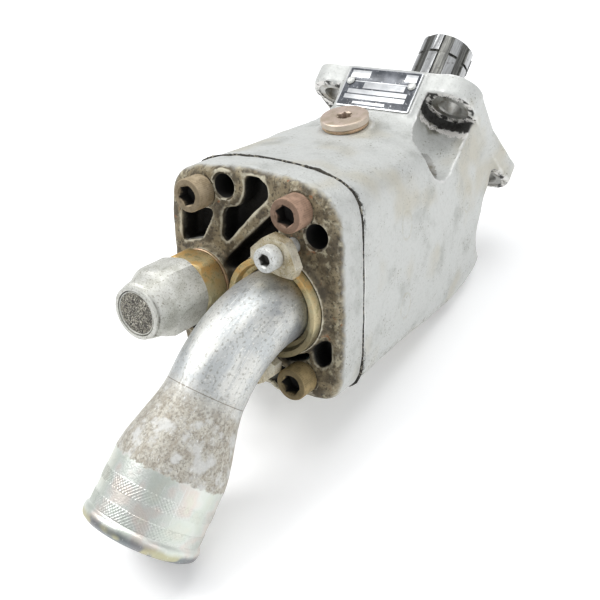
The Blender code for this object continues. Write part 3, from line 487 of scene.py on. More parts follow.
def makeCoverFinish():
    finish = Finish("coverGrimeAndShade")
    x, _, z = finish.parts()
    tone, crustAndShade, _ = paintedColour(finish)
    shut, edge = finish.value("shut"), finish.value("edge")
    front = finish.between(finish.noise(6, 5) * 5 - x, coverFront["grimeFrom"], coverFront["grimeFull"])
    olive = finish.mix(finish.patches(9, 0.40, 0.60, detail=6), (0.085, 0.066, 0.038), (0.25, 0.205, 0.125))
    olive = finish.stained(olive, (0.44, 0.40, 0.28), 0.8, 5, 0.55, 0.68, detail=6)
    olive = finish.stained(olive, (0.045, 0.036, 0.022), 0.8, 1.6, 0.52, 0.62, detail=5)
    rust = finish.patches(4.5, 0.60, 0.67, detail=5) * finish.patches(19, 0.48, 0.58)
    olive = finish.mix(rust * 0.9, olive, (0.26, 0.095, 0.03))
    ribs = finish.between(edge + finish.noise(3, 4) * 0.16 - 0.08, 0.03, 0.12)
    olive = finish.mix(ribs * 0.85, olive, (0.62, 0.58, 0.45))
    # painted shade: crevices and window walls go dark olive
    walls = finish.between(shut + finish.noise(4, 5) * 0.3, 0.24, 0.50)
    olive = finish.mix(walls * 0.85, olive, (0.055, 0.044, 0.026))
    tone = finish.mix(front, tone, olive)
    # painted shade: deep holes and recesses go near-black, teal-tinted low down
    deep = finish.between(shut + finish.noise(5, 5) * 0.3, 0.40, 0.70)
    teal = finish.between(z * -1, 5.0, 25.0) * finish.patches(9, 0.5, 0.62)
    black = finish.mix(teal * 0.7, (0.012, 0.011, 0.009), (0.015, 0.06, 0.065))
    tone = finish.mix(deep, tone, black)
    rough = finish.limit(0.5 + crustAndShade * 0.3 + finish.noise(2, 4) * 0.25 - deep * 0.3)
    return finish.done(tone, rough, 0.3 - front * 0.2, castingHeight(finish, 1.1), 0.55, 0.0008)


def makeSealant():
    finish = Finish("jointSealant")
    tone = finish.mix(finish.patches(1.6, 0.52, 0.62, detail=5), (0.02, 0.018, 0.014), (0.30, 0.28, 0.22))
    tone = finish.mix(finish.patches(12, 0.5, 0.6), tone, (0.05, 0.045, 0.035))
    return finish.done(tone, 0.75, 0.0, finish.noise(0.9, 5), 0.8, 0.0006)


def makeRust(name, light, dark):  # a screw's brown film of rust, with painted shade in its socket and recesses
    finish = Finish(name)
    tone = finish.mix(finish.patches(5, 0.40, 0.62, detail=6), light, dark)
    tone = finish.stained(tone, [0.35 * c for c in dark], 0.7, 1.3, 0.56, 0.66, detail=4)
    tone = finish.mix(finish.between(finish.value("edge") + finish.noise(2) * 0.1, 0.10, 0.22) * 0.5, tone,
                      [min(1.0, 1.4 * c) for c in light])
    x = finish.parts()[0]
    tone = finish.mix(finish.between(x * -1, 143.2, 143.7) * 0.6, tone, [0.55 * c for c in dark])
    # painted shade: the socket and other recesses go near-black
    shut = finish.between(finish.value("shut") + finish.noise(3, 3) * 0.2, 0.28, 0.62)
    tone = finish.mix(shut, tone, (0.012, 0.010, 0.008))
    return finish.done(tone, 0.55 + finish.noise(1.5) * 0.25, 0.45 - shut * 0.4, finish.noise(0.8, 5), 0.35,
                       0.0004)


def makeTubeFinish():
    finish = Finish("hoseTube")
    skin = finish.value("skin", "Vector")
    s = finish.parts(skin)[0]
    streak = finish.stretch((0.10, 1.0, 1.0), skin)
    tone = finish.mix(finish.patches(14, 0.40, 0.65, detail=4, where=skin), (0.54, 0.56, 0.56),
                      (0.66, 0.66, 0.63))
    tone = finish.stained(tone, (0.36, 0.38, 0.39), 0.6, 2.0, 0.48, 0.72, detail=6, where=streak)
    tone = finish.stained(tone, (0.27, 0.265, 0.23), 0.6, 1.3, 0.56, 0.62, detail=4, where=skin)
    tone = finish.stained(tone, (0.80, 0.79, 0.75), 0.7, 1.0, 0.60, 0.68, detail=2, where=skin)
    bruise = finish.patches(17, 0.50, 0.60, detail=4, where=skin) * (1 - finish.between(s, 22, 40))
    tone = finish.mix(bruise * 0.7, tone, (0.25, 0.27, 0.30))
    wander = finish.noise(6, 5, where=skin) * 9 - 4.5
    grimy = finish.between(s + wander, tubeRuns["seam"] - 8, tubeRuns["seam"] + 10)
    mottle = finish.mix(finish.patches(3.2, 0.38, 0.64, detail=8, where=skin), (0.56, 0.53, 0.45),
                        (0.36, 0.31, 0.235))
    mottle = finish.stained(mottle, (0.20, 0.165, 0.12), 0.7, 1.1, 0.52, 0.60, detail=5, where=skin)
    mottle = finish.stained(mottle, (0.13, 0.105, 0.07), 0.5, 1.4, 0.54, 0.60, detail=6, where=skin)
    mottle = finish.stained(mottle, (0.68, 0.68, 0.66), 0.8, 11, 0.48, 0.60, detail=6, where=skin)
    tone = finish.mix(grimy * 0.75, tone, mottle)
    ragged = finish.noise(3.5, 6, where=skin) * 7 - 3.5
    clean = finish.between(s + ragged, tubeRuns["tail"] + 0.2, tubeRuns["tail"] + 1.2)
    tint = finish.noise(15, 2, where=skin)
    film = finish.add("ShaderNodeValToRGB", {"stops": (
        (0.30, (0.64, 0.65, 0.58)), (0.42, (0.62, 0.66, 0.60)), (0.50, (0.66, 0.68, 0.64)),
        (0.60, (0.68, 0.63, 0.58)), (0.70, (0.67, 0.66, 0.58)), (0.8, (0.62, 0.64, 0.66)))}, {"Fac": tint})
    film = finish.stained(film, (0.74, 0.75, 0.70), 0.5, 2.2, 0.6, 0.75, where=streak)
    tone = finish.mix(clean, tone, film)
    rim = finish.between(s + finish.noise(5, 3, where=skin) * 2.4, tubeRuns["end"] - 4.5,
                         tubeRuns["end"] - 1.5)
    rimTone = finish.mix(finish.patches(16, 0.42, 0.52, detail=2, where=skin), (0.40, 0.37, 0.20),
                         (0.10, 0.115, 0.14))
    tone = finish.mix(rim * 0.75, tone, rimTone)
    line = finish.between(s, tubeRuns["seam"] - 0.35, tubeRuns["seam"]) - finish.between(
        s, tubeRuns["seam"], tubeRuns["seam"] + 0.35)
    tone = finish.mix(line * 0.8, tone, (0.16, 0.13, 0.09))
    drawn = finish.stretch((0.035, 1.0, 1.0), skin)
    scratch = finish.patches(0.5, 0.70, 0.74, detail=1, where=drawn, twist=0.3)
    tone = finish.mix(scratch * 0.8, tone, (0.80, 0.81, 0.80))
    rough = finish.limit(0.40 + grimy * 0.2 - clean * 0.26 + finish.noise(1.5, 4, where=skin) * 0.18)
    height = finish.noise(0.9, 4, where=skin) + finish.noise(7, 2, where=skin)
    height = height + grimy * finish.noise(1.8, 5, where=skin)
    return finish.done(tone, rough, 0.88 - grimy * (1 - clean) * 0.35, height, 0.22, 0.0004)


def makeZinc(name, pale, grey, dirtAndShade, amount):
    finish = Finish(name)
    tone = finish.mix(finish.patches(7, 0.40, 0.66, detail=5), pale, grey)
    tone = finish.stained(tone, dirtAndShade, 0.75, 0.9, 0.56, 0.66, detail=3)
    tone = finish.stained(tone, (0.80, 0.79, 0.74), 0.6, 0.7, 0.60, 0.68, detail=2)
    # painted shade: recesses darken towards a deep tone of the dirt colour
    low = finish.between(finish.value("shut") + finish.noise(4, 5) * 0.4, 0.45, 0.85)
    tone = finish.mix(low * amount, tone, [0.3 * c for c in dirtAndShade])
    # pale convex edges: wear, with a painted highlight
    tone = finish.mix(finish.between(finish.value("edge"), 0.12, 0.25) * 0.5, tone, (0.84, 0.84, 0.80))
    return finish.done(tone, 0.45 + finish.noise(2, 4) * 0.22, 0.6, finish.noise(0.8, 5), 0.3, 0.0004)


def makeYellowZinc(name):
    finish = Finish(name)
    z = finish.parts()[2]
    tone = finish.mix(finish.patches(8, 0.40, 0.62, detail=4), (0.70, 0.45, 0.17), (0.62, 0.52, 0.29))
    low = finish.between(finish.noise(6, 5) * 12 - z, -6, 8)
    tone = finish.mix(low * 0.7, tone, (0.52, 0.50, 0.34))
    tone = finish.stained(tone, (0.34, 0.27, 0.12), 0.6, 4, 0.54, 0.64, detail=6)
    tone = finish.mix(finish.between(finish.noise(6, 5) * 14 - z, 14, 26) * 0.8, tone, (0.16, 0.13, 0.07))
    tone = finish.stained(tone, (0.12, 0.09, 0.05), 0.7, 0.9, 0.60, 0.68)
    tone = finish.mix(finish.between(finish.value("edge"), 0.12, 0.25) * 0.5, tone, (0.80, 0.72, 0.50))
    return finish.done(tone, 0.36 + finish.noise(2, 4) * 0.25, 0.7, finish.noise(1.0, 4), 0.22, 0.0003)


def makeCopper():
    finish = Finish("sealingWasher")
    tone = finish.mix(finish.patches(5, 0.4, 0.65, detail=5), (0.62, 0.44, 0.30), (0.40, 0.31, 0.19))
    tone = finish.stained(tone, (0.14, 0.11, 0.07), 0.6, 1.2, 0.6, 0.7)
    return finish.done(tone, 0.4 + finish.noise(2) * 0.2, 0.7, finish.noise(1.0, 3), 0.15, 0.0002)


def makeGrit():  # the cap's end, crusted with dark grit
    finish = Finish("crustedGrit")
    tone = finish.mix(finish.patches(0.9, 0.46, 0.60, detail=3), (0.075, 0.07, 0.06), (0.34, 0.32, 0.26))
    tone = finish.mix(finish.patches(0.8, 0.58, 0.64, detail=2), tone, (0.62, 0.60, 0.52))
    tone = finish.stained(tone, (0.07, 0.065, 0.055), 0.4, 5, 0.45, 0.6)
    return finish.done(tone, 0.8, 0.15, finish.noise(0.8, 4), 0.9, 0.0006)


def makePlugFinish():
    finish = Finish("plugSteel")
    tone = finish.mix(finish.patches(9, 0.4, 0.66, detail=4), (0.60, 0.49, 0.42), (0.46, 0.38, 0.29))
    tone = finish.stained(tone, (0.20, 0.15, 0.10), 0.6, 1.2, 0.60, 0.70)
    # painted shade: the socket and recesses go dark brown
    tone = finish.mix(finish.between(finish.value("shut"), 0.4, 0.9), tone, (0.09, 0.065, 0.04))
    tone = finish.mix(finish.between(finish.value("edge"), 0.10, 0.22) * 0.6, tone, (0.78, 0.70, 0.60))
    return finish.done(tone, 0.4 + finish.noise(2, 4) * 0.2, 0.65, finish.noise(1.2, 4), 0.2, 0.0003)


def makeShaftSteel():
    finish = Finish("splineSteel", shaft)
    _, y, z = finish.parts()
    radius = (y * y + z * z) ** 0.5
    crest = finish.between(radius, shaftSizes["root"] + 0.7, shaftSizes["tip"] - 0.15)
    brushed = finish.patches(1.2, 0.35, 0.7, detail=4, where=finish.stretch((0.08, 1.0, 1.0)))
    low = finish.mix(brushed, (0.11, 0.11, 0.105), (0.24, 0.24, 0.22))
    top = finish.mix(brushed, (0.55, 0.56, 0.56), (0.36, 0.36, 0.36))
    tone = finish.mix(crest, low, top)
    tone = finish.stained(tone, (0.09, 0.085, 0.07), 0.6, 3, 0.58, 0.7, detail=5)
    return finish.done(tone, 0.28 + finish.noise(2, 4) * 0.2, 0.95, brushed, 0.1, 0.0002)


def makeInner(name, light, dark, rough, metal):  # oily inner pieces
    finish = Finish(name)
    tone = finish.mix(finish.patches(6, 0.4, 0.66, detail=4), light, dark)
    tone = finish.stained(tone, [0.4 * c for c in dark], 0.5, 1.0, 0.62, 0.70)
    return finish.done(tone, rough + finish.noise(2, 4) * 0.15, metal, finish.noise(0.8, 3), 0.08, 0.0002)


plateSizes = {"width": 27.5, "length": 50.0, "thick": 0.8, "height": 56.9, "middle": 69.5 - 15.8,
              "rivetX": 3.75, "rivetY": 21.0, "corner": 1.2}
plateFrame = shaft @ Matrix.Translation((plateSizes["middle"], 0, plateSizes["height"]))


def makePlateFinish():
    finish = Finish("ratingPlate", plateFrame)
    x, y, _ = finish.parts()

    def field(lowX, highX, lowY, highY):  # 1 inside one printed rectangle
        soft = 0.12
        along = finish.between(x, lowX - soft, lowX + soft) - finish.between(x, highX - soft, highX + soft)
        across = finish.between(y, lowY - soft, lowY + soft) - finish.between(y, highY - soft, highY + soft)
        return along * across

    metal = finish.mix(finish.patches(7, 0.4, 0.7), (0.66, 0.67, 0.68), (0.50, 0.51, 0.52))
    ink = finish.mix(finish.patches(12, 0.4, 0.7), (0.045, 0.05, 0.06), (0.16, 0.17, 0.19))
    dark = field(4.3, 12.9, -24.2, 24.2) + field(-13.0, 3.6, -24.2, 24.2)
    blanks = (field(6.6, 11.6, 9.5, 22.5) + field(6.6, 11.6, -22.5, -14.5) + field(-0.6, 3.4, -17.0, 11.0)
              + field(-4.6, -1.6, -20.0, 20.5) + field(-8.4, -5.4, -20.0, 21.5)
              + field(-11.6, -10.0, -8.0, 14.0))
    printed = finish.limit(dark - blanks) * (1 - finish.patches(1.5, 0.62, 0.7) * 0.7)
    tone = finish.mix(printed, metal, ink)
    tone = finish.stained(tone, (0.62, 0.60, 0.55), 0.6, 2.2, 0.62, 0.72, detail=6)
    return finish.done(tone, 0.26 + finish.noise(4, 4) * 0.2, 0.8 - printed * 0.6, finish.noise(9, 2), 0.25,
                       0.0004)


casingSizes = {
    "halfWidth": 56.0, "top": 62.5, "bottom": -60.0, "corner": 8, "topCrown": 0.12, "sideCrown": 0.04,
    "plane": -110.6, "chamber": 44.0, "pivot": Vector((-45.0, 0.0, 124.9)), "face": 69.5, "flange": 13.0,
    "ear": 16.0, "square": 80.0, "hole": 6.75, "pilot": 40.0, "pilotHeight": 6.0, "flangeHalf": 52.0,
    "pocket": 17.0, "pocketLength": 50.0, "flare": math.radians(17), "bearing": 34.3, "seal": 28.3,
}
bendSections = (  # share of the bend, distances of top and bottom from the pivot, half width
    (0.0, 62.0, 182.0, 55.0), (0.22, 63.0, 184.7, 54.5), (0.44, 64.5, 191.4, 53.5), (0.63, 65.5, 194.1, 52.5),
    (0.80, 64.5, 181.2, 51.5), (0.93, 63.5, 165.5, 51.0), (1.0, 63.2, 163.0, 51.0))


def casingOutline(halfWidth, top, bottom, inset=0.0, count=144):  # rounded, with a crowned top
    s = casingSizes
    width, height = halfWidth - inset, (top - bottom) / 2 - inset
    points = []
    for k in range(count):
        turn = math.tau * k / count
        c, d = math.cos(turn), math.sin(turn)
        corner = 2 / s["corner"]
        bunched = math.atan2(math.copysign(abs(d) ** corner, d) * height,
                             math.copysign(abs(c) ** corner, c) * width)
        angle = (bunched + math.atan2(d * height, c * width)) / 2
        reach = (abs(math.cos(angle)) / width) ** s["corner"] + (abs(math.sin(angle)) / height) ** s["corner"]
        reach **= -1 / s["corner"]
        y, z = reach * math.cos(angle), reach * math.sin(angle)
        if z > 0:
            z *= 1 - s["topCrown"] * (y / width) ** 2
        y *= 1 - s["sideCrown"] * (z / height) ** 2
        points.append((y, (top + bottom) / 2 + z))
    return points


def outlineLoft(rings):  # outlines bridged one to the next, with flat ends
    bm = bmesh.new()
    loops = [ringLoop(bm, ring) for ring in rings]
    bridged(bm, loops)
    for ends in (loops[0], loops[-1]):
        bmesh.ops.contextual_create(bm, geom=ends)
    return tidied(bm)


def eased(rows, steps):  # a smooth curve through the rows' values
    made = []
    for k in range(len(rows) - 1):
        before, first = rows[max(k - 1, 0)], rows[k]
        second, after = rows[k + 1], rows[min(k + 2, len(rows) - 1)]
        for j in range(steps):
            t = j / steps
            made.append([0.5 * (2 * b + (c - a) * t + (2 * a - 5 * b + 4 * c - d) * t * t
                                + (3 * b - a - 3 * c + d) * t ** 3)
                         for a, b, c, d in zip(before, first, second, after)])
    return made + [list(rows[-1])]


def casingBody():
    s = casingSizes
    rings = []
    for x, top, bottom, half in ((s["plane"] - 4, s["top"], s["bottom"], s["halfWidth"]),
                                 (-98.0, s["top"] - 0.2, s["bottom"] + 0.5, s["halfWidth"] - 0.1),
                                 (-80.0, s["top"] - 0.5, s["bottom"] + 1.5, s["halfWidth"] - 0.5),
                                 (-62.0, s["top"] - 0.5, s["bottom"] + 2.3, s["halfWidth"] - 0.8)):
        rings.append([Vector((x, y, z)) for y, z in casingOutline(half, top, bottom)])
    for share, top, bottom, half in eased(bendSections, 5):
        turn = Matrix.Rotation(-share * bendAngle, 4, "Y")
        rings.append([s["pivot"] + turn @ Vector((0, y, z)) for y, z in casingOutline(half, -top, -bottom)])
    level = sum((shaftInPump.inverted() @ point).x for point in rings[-1]) / len(rings[-1])
    step = shaftInPump.to_3x3() @ Vector((s["face"] - s["flange"] + 3 - level, 0, 0))
    rings.append([point + step for point in rings[-1]])
    return outlineLoft(rings)


def earOutline():
    s = casingSizes
    half = s["square"] / 2
    points = [(s["flangeHalf"], 0.0)]
    for y, z, start in ((half, half, -20), (-half, half, 70), (-half, -half, 160), (half, -half, 250)):
        angles = [math.radians(start + 130 * k / 20) for k in range(21)]
        points += [(y + s["ear"] * math.cos(a), z + s["ear"] * math.sin(a)) for a in angles]
        if (y, z) == (-half, half):
            points.append((-s["flangeHalf"], 0.0))
    return points


def scoop(y, z):  # the room for a bolt's head behind one ear
    s = casingSizes
    straight = s["pocketLength"] - s["pocket"]
    profile = [(0, 0), (0, s["pocket"]), (-straight, s["pocket"])]
    for k in range(1, 6):
        turn = math.radians(15 * k)
        profile.append((-straight - s["pocket"] * math.sin(turn), s["pocket"] * math.cos(turn)))
    bm = spun(profile + [(-s["pocketLength"], 0)], 40)
    for vert in bm.verts:
        shift = math.tan(s["flare"]) * abs(vert.co.x) / math.sqrt(2)
        vert.co += Vector((s["face"] - s["flange"], y + math.copysign(shift, y), z + math.copysign(shift, z)))
    return moved(tidied(bm), shaftInPump)


plugPlace = Matrix.Translation((-40.0, 0.0, 64.8)) @ Matrix.Rotation(-math.pi / 2 - math.radians(12), 4, "Y")
boltCorners = [(y, z) for y in (-40.0, 40.0) for z in (-40.0, 40.0)]


screwPattern = {"spread": math.radians(33.8), "circle": 55.9, "spareCircle": 53.5,
                "spareTurn": math.radians(16.6)}


def screwCorners(spare=False):  # where the cover's screws are, or its unused holes
    spread = screwPattern["spread"]
    circle = screwPattern["spareCircle" if spare else "circle"]
    turn = screwPattern["spareTurn"] if spare else 0.0
    angles = [base + half + turn for base in (-spread, spread) for half in (0.0, math.pi)]
    return [(-circle * math.sin(a), circle * math.cos(a)) for a in angles]


def drill(profile, place=None, centre=(0, 0, 0), steps=64):
    made = spun(profile, steps, centre)
    return moved(made, place) if place else made


def makeCasing(finishes):
    s = casingSizes
    bm = casingBody()
    flange = bevelled(slab(earOutline(), s["face"] - s["flange"], s["face"] + 4), 1.6, 40, 2)
    bm = combined(bm, moved(flange, shaftInPump), "UNION")
    boss = spun([(-20, 0), (-20, 17), (-1, 17), (0, 15.5), (0, 0)], 48)
    bm = combined(bm, moved(boss, plugPlace), "UNION")
    pad = box((s["face"] - 31.0, -26.5, 43.0), (s["face"] - 0.8, 26.5, 56.6))
    bm = combined(bm, moved(pad, shaftInPump), "UNION")
    for lug in casingLugs:
        bm = combined(bm, lugShape(lug), "UNION")
    for y, z in boltCorners:
        bm = combined(bm, scoop(y, z))
    bm = roughCast(castSkin(bm, 1.25, 5), 0.35, 9.0)
    bm = combined(bm, box((-400, -200, -200), (s["plane"], 200, 200)))
    bm = combined(bm, moved(box((s["face"], -200, -200), (400, 200, 200)), shaftInPump))
    above = box((s["face"] - 31.0, -25.6, 56.6), (s["face"] - 1.6, 25.6, 70))
    bm = combined(bm, moved(above, shaftInPump))
    pilot = bevelled(spun(bar(s["face"] - 2, s["face"] + s["pilotHeight"], s["pilot"]), 96), 0.8, 40, 2)
    bm = combined(bm, moved(pilot, shaftInPump), "UNION")
    seat = s["face"] - 3.5
    cuts = [drill(bar(s["plane"] - 9, 4, s["chamber"]), steps=96),
            drill(bar(-12, 25, s["chamber"]), shaftInPump, steps=96),
            drill([(10, 0), (10, s["bearing"]), (seat, s["bearing"]), (seat, s["seal"]), (80, s["seal"]),
                   (80, 0)],
                  shaftInPump, steps=96),
            drill(bar(0, 8, 14.8), plugPlace),
            drill(bar(-30, 5, 10.3), plugPlace)]
    back = s["face"] - s["flange"] + 0.5
    for y, z in boltCorners:
        cuts.append(drill([(back - 9, 0), (back - 9, 11.5), (back, 11.5), (back, 7.6),
                           (back + 0.9, s["hole"]), (s["face"] - 0.9, s["hole"]),
                           (s["face"] + 5, s["hole"] + 6), (s["face"] + 5, 0)],
                          shaftInPump, (0, y, z)))
    for y, z in screwCorners():
        cuts.append(drill([(s["plane"] - 5, 0), (s["plane"] - 5, 6.3), (-85.2, 6.3), (-82.2, 0)], None,
                          (0, y, z), 40))
    bm = cutAway(bm, cuts)
    machineFaces(bm)
    piece("housingCasting", bm, pump, "root", finishes, "casing_paint", ["bearing_housing"], 30, reach=0.022)


def machineFaces(bm):  # turned and drilled surfaces take the second material
    s = casingSizes
    toShaft = shaftInPump.inverted()
    for face in bm.faces:
        middle = face.calc_center_median()
        there = toShaft @ middle
        level = (toShaft.to_3x3() @ face.normal).x
        radius = math.hypot(there.y, there.z)
        bore = min(math.hypot(there.y - y, there.z - z) for y, z in boltCorners)
        planed = level > 0.99 and there.x > s["face"] - 0.1
        spotted = level < -0.99 and bore < 11.6
        drilled = bore < s["hole"] + 1.2 or (there.x > 20 and radius < s["bearing"] + 0.2)
        inside = math.hypot(middle.y, middle.z) < s["chamber"] + 0.2 and s["plane"] - 0.1 < middle.x < 0
        # the joint face behind the gasket takes the near-black painted shade
        if middle.x < s["plane"] + 0.05:
            face.material_index = 2
        elif planed or spotted or drilled or inside:
            face.material_index = 1


casingLugs = (  # raised marks of the mould: where, how long, how wide, how high, and a turn
    {"place": Vector((-12.0, -24.0, 61.0)), "long": 17.0, "wide": 5.0, "high": 4.0, "lean": 18.0,
     "turn": 24.0},
)


def lugShape(lug):
    bm = bmesh.new()
    bmesh.ops.create_uvsphere(bm, u_segments=24, v_segments=12, radius=1)
    size = Matrix.Diagonal((lug["long"] / 2, lug["wide"] / 2, lug["high"], 1))
    lean = Matrix.Rotation(math.radians(-lug["lean"]), 4, "Y")
    turn = Matrix.Rotation(math.radians(lug["turn"]), 4, "Z")
    return moved(bm, Matrix.Translation(lug["place"]) @ lean @ turn @ size)


coverSizes = {"back": -112.0, "front": -131.6, "edge": 4.3, "window": 14.0, "screwHole": 6.5,
              "pressure": Vector((0, 30.0, -2.0)), "suction": Vector((0, -18.6, -6.0)), "clampCircle": 34.0,
              "clampAngle": math.radians(14.2)}
coverFront = {"grimeFrom": 129.8, "grimeFull": 133.2}
coverWindows = (
    [(47, 34), (38, 36), (27, 37), (24.5, 35), (34, 18.5), (48, 15)],
    [(2, 58.5), (-7, 58.5), (-12, 54.5), (-12, 49), (0, 37.5), (17, 19.5), (20, 23.5), (17.5, 38.5),
     (7, 41.5), (3, 48)],
    [(-19, 41.5), (-14.5, 41), (14.5, 13.5), (17.5, 9), (14, 5), (8, 7), (2, 13), (-3, 18.5), (-9, 24),
     (-17, 30)],
    [(47, -22), (36, -24), (26, -34), (38, -34), (46, -32)],
    [(17, -30), (8, -38), (-10, -44), (-12, -56), (10, -57), (18, -44)],
    [(-48.5, -21.5), (-41, -24), (-37.5, -29.5), (-38, -35.5), (-42, -39), (-48.5, -34)],
    [(-19, -36.5), (-29, -34), (-35.8, -30.5), (-33.5, -36), (-26, -38.5), (-18, -41)],
)


def clampSpots():
    c = coverSizes
    angles = (c["clampAngle"], c["clampAngle"] + math.pi)
    return [(c["suction"].y - c["clampCircle"] * math.sin(a), c["suction"].z + c["clampCircle"] * math.cos(a))
            for a in angles]


def makeCover(finishes):
    s, c = casingSizes, coverSizes
    front, back = c["front"], c["back"]
    rings = []
    for x, inset in ((back + 5, 0), (front + c["edge"], 0), (front + 2.4, 0.4), (front + 1.0, 1.5),
                     (front, 3.4)):
        outline = casingOutline(s["halfWidth"], s["top"], s["bottom"], inset)
        rings.append([Vector((x, y, z)) for y, z in outline])
    bm = outlineLoft(rings)
    for port, radius in ((c["pressure"], 18.0), (c["suction"], 29.5)):
        boss = spun([(back - 3, 0), (back - 3, radius), (front - 2, radius), (front - 5, radius - 1.6),
                     (front - 5, 0)], 64, port)
        bm = combined(bm, boss, "UNION")
    for y, z in screwCorners(spare=True):
        ring = spun([(back - 3, 0), (back - 3, 10.2), (front - 0.7, 9.6), (front - 0.7, 0)], 48, (0, y, z))
        bm = combined(bm, ring, "UNION")
    for outline in coverWindows:
        bm = combined(bm, bevelled(slab(outline, front + c["window"], front - 8), 2.0, 20, 3))
    bm = roughCast(castSkin(bm, 1.0, 4), 0.3, 6.0)
    for port, radius in ((c["pressure"], 16.5), (c["suction"], 28.0)):
        face = spun(bar(front - 12, front - 4, radius), 64, port)
        bm = combined(bm, face)
    cuts = [box((back, -200, -200), (0, 200, 200)),
            drill(bar(front - 9, front + 12, 13.5), None, c["pressure"]),
            drill(bar(front - 9, front + 9, 20.9), None, c["suction"]),
            drill(bar(front + 0.4, front + 4.4, 23.8), None, c["suction"])]
    for y, z in screwCorners():
        cuts.append(drill([(front - 9, 0), (front - 9, 9.6), (front, 9.6), (front, c["screwHole"]),
                           (back + 6, c["screwHole"]), (back + 6, 0)], None, (0, y, z), 48))
    for y, z in screwCorners(spare=True):
        cuts.append(drill([(front - 9, 0), (front - 9, 8.2), (front - 0.7, 7.6),
                           (front + 0.4, c["screwHole"]), (back + 6, c["screwHole"]), (back + 6, 0)], None,
                           (0, y, z), 48))
    for y, z in clampSpots():
        cuts.append(drill(bar(front - 9, front + 12, 4.3), None, (0, y, z), 32))
    bm = cutAway(bm, cuts)
    for face in bm.faces:  # the unused holes' walls take the near-black painted shade
        middle = face.calc_center_median()
        away = min(math.hypot(middle.y - y, middle.z - z) for y, z in screwCorners(spare=True))
        if away < c["screwHole"] + 0.1 and middle.x > front + 0.8:
            face.material_index = 1
    piece("coverCasting", bm, pump, "root", finishes, "cover_casting", ["end_cover"], 30, reach=0.016)


def makeSealantBead(finish):  # the gasket and what squeezed out beside it
    s = casingSizes
    rings = []
    for x, proud in ((s["plane"] - 0.25, -9.0), (s["plane"] - 0.25, 0.1), (s["plane"] - 0.45, 0.55),
                     (-111.3, 0.8), (-111.7, 0.45), (-111.75, -9.0)):
        ring = []
        for y, z in casingOutline(s["halfWidth"], s["top"], s["bottom"], -proud, 720):
            rough = noise.noise(Vector((y, z, 0)) / 2.3) * 0.55 + noise.noise(Vector((y, z, 9)) / 14) * 0.7
            lumpy = max(0.0, rough + 0.1) if proud > 0 else 0.0
            out = Vector((0, y, z)).normalized() * lumpy
            ring.append(Vector((x, y, z)) + out)
        rings.append(ring)
    bm = bmesh.new()
    loops = [ringLoop(bm, ring) for ring in rings]
    bridged(bm, loops + loops[:1])
    piece("jointSealantBead", tidied(bm), pump, "root", [finish], "sealant", ["cover_gasket"])


def socketScrew(head, height, shank, length, flats, flutes):  # seats at x = 0 and points to -X
    profile = [(-height, 0), (-height, head - 1.1), (-height + 0.35, head - 0.35), (-height + 1.1, head),
               (-0.9, head), (-0.3, head - 0.3), (0, head - 0.9), (0, shank), (length - 1, shank),
               (length, shank - 1), (length, 0)]
    bm = spun(profile, flutes * 4)
    for vert in bm.verts:
        if -height + 0.9 < vert.co.x < -0.7:
            radius = math.hypot(vert.co.y, vert.co.z)
            turn = math.atan2(vert.co.y, vert.co.z)
            scale = 1 - 0.05 * (0.5 + 0.5 * math.cos(turn * flutes)) / radius
            vert.co.y *= scale
            vert.co.z *= scale
    bm = combined(bm, hexBar(flats, -height - 3, -height * 0.4), solver="EXACT")
    chamfer = spun([(-height - 2, 0), (-height - 2, flats / 2 + 3.0), (-height + 0.9, flats / 2 + 0.1),
                    (-height + 0.9, 0)], 48)
    bm = combined(bm, chamfer, solver="EXACT")
    tip = spun([(-height * 0.42, 0), (-height * 0.42, flats / 2 - 0.3), (-height * 0.2, 0)], 32)
    return combined(bm, tip, solver="EXACT")


def makeCoverScrews(finishes):
    for number, ((y, z), finish) in enumerate(zip(screwCorners(), finishes), 1):
        turn = Matrix.Rotation(math.radians(17 * number), 4, "X")
        screw = moved(socketScrew(9.0, 12.0, 6.0, 44.0, 10.0, 54), turn)
        screw = shifted(screw, (coverSizes["front"] - 0.3, y, z))
        piece(f"coverScrew{number}", screw, pump, "root", [finish], "rusted_screws",
              [f"cover_screw_{number}"], reach=0.012)


tubeSizes = {"radius": 20.3, "wall": 2.6, "bend": 59.0, "angle": math.radians(51.3),
             "lean": math.radians(7.5), "straight": 6.0, "reducer": 39.0, "tail": 28.5, "tailLength": 36.5,
             "knurl": 0.26, "starts": 96, "bead": 29.2}
bendLength = tubeSizes["bend"] * tubeSizes["angle"]
tubeRuns = {"seam": 15.0 + bendLength + tubeSizes["straight"]}
tubeRuns["tail"] = tubeRuns["seam"] + tubeSizes["reducer"]
tubeRuns["end"] = tubeRuns["tail"] + tubeSizes["tailLength"]
knurlBands = ((9.8, 16.0), (22.4, 28.6))


def tubeStation(run):  # the point and direction after a run along the centre line
    t = tubeSizes
    down = Vector((0, math.sin(t["lean"]), -math.cos(t["lean"])))
    out = Vector((-1, 0, 0))
    start = Vector((coverSizes["front"] + 5, coverSizes["suction"].y, coverSizes["suction"].z))
    if run <= 15:
        return start + out * run, out
    turn = min((run - 15) / t["bend"], t["angle"])
    along = out * math.cos(turn) + down * math.sin(turn)
    place = start + out * 15 + out * t["bend"] * math.sin(turn) + down * t["bend"] * (1 - math.cos(turn))
    return place + along * max(0.0, run - 15 - bendLength), along


def tubeRadius(run):
    t = tubeSizes
    beyond = run - tubeRuns["tail"]
    share = min(max((run - tubeRuns["seam"]) / t["reducer"], 0.0), 1.0)
    smooth = share * share * (3 - 2 * share)
    radius = t["radius"] + (t["tail"] - t["radius"]) * (0.35 * share + 0.65 * smooth)
    if beyond > t["bead"]:
        radius += 1.6 * math.sin(math.pi * min((beyond - t["bead"]) / 6.8, 1.0) ** 0.8) ** 0.6
    if beyond > t["tailLength"] - 1.4:
        radius -= 1.1 * ((beyond - t["tailLength"] + 1.4) / 1.4) ** 2
    return radius


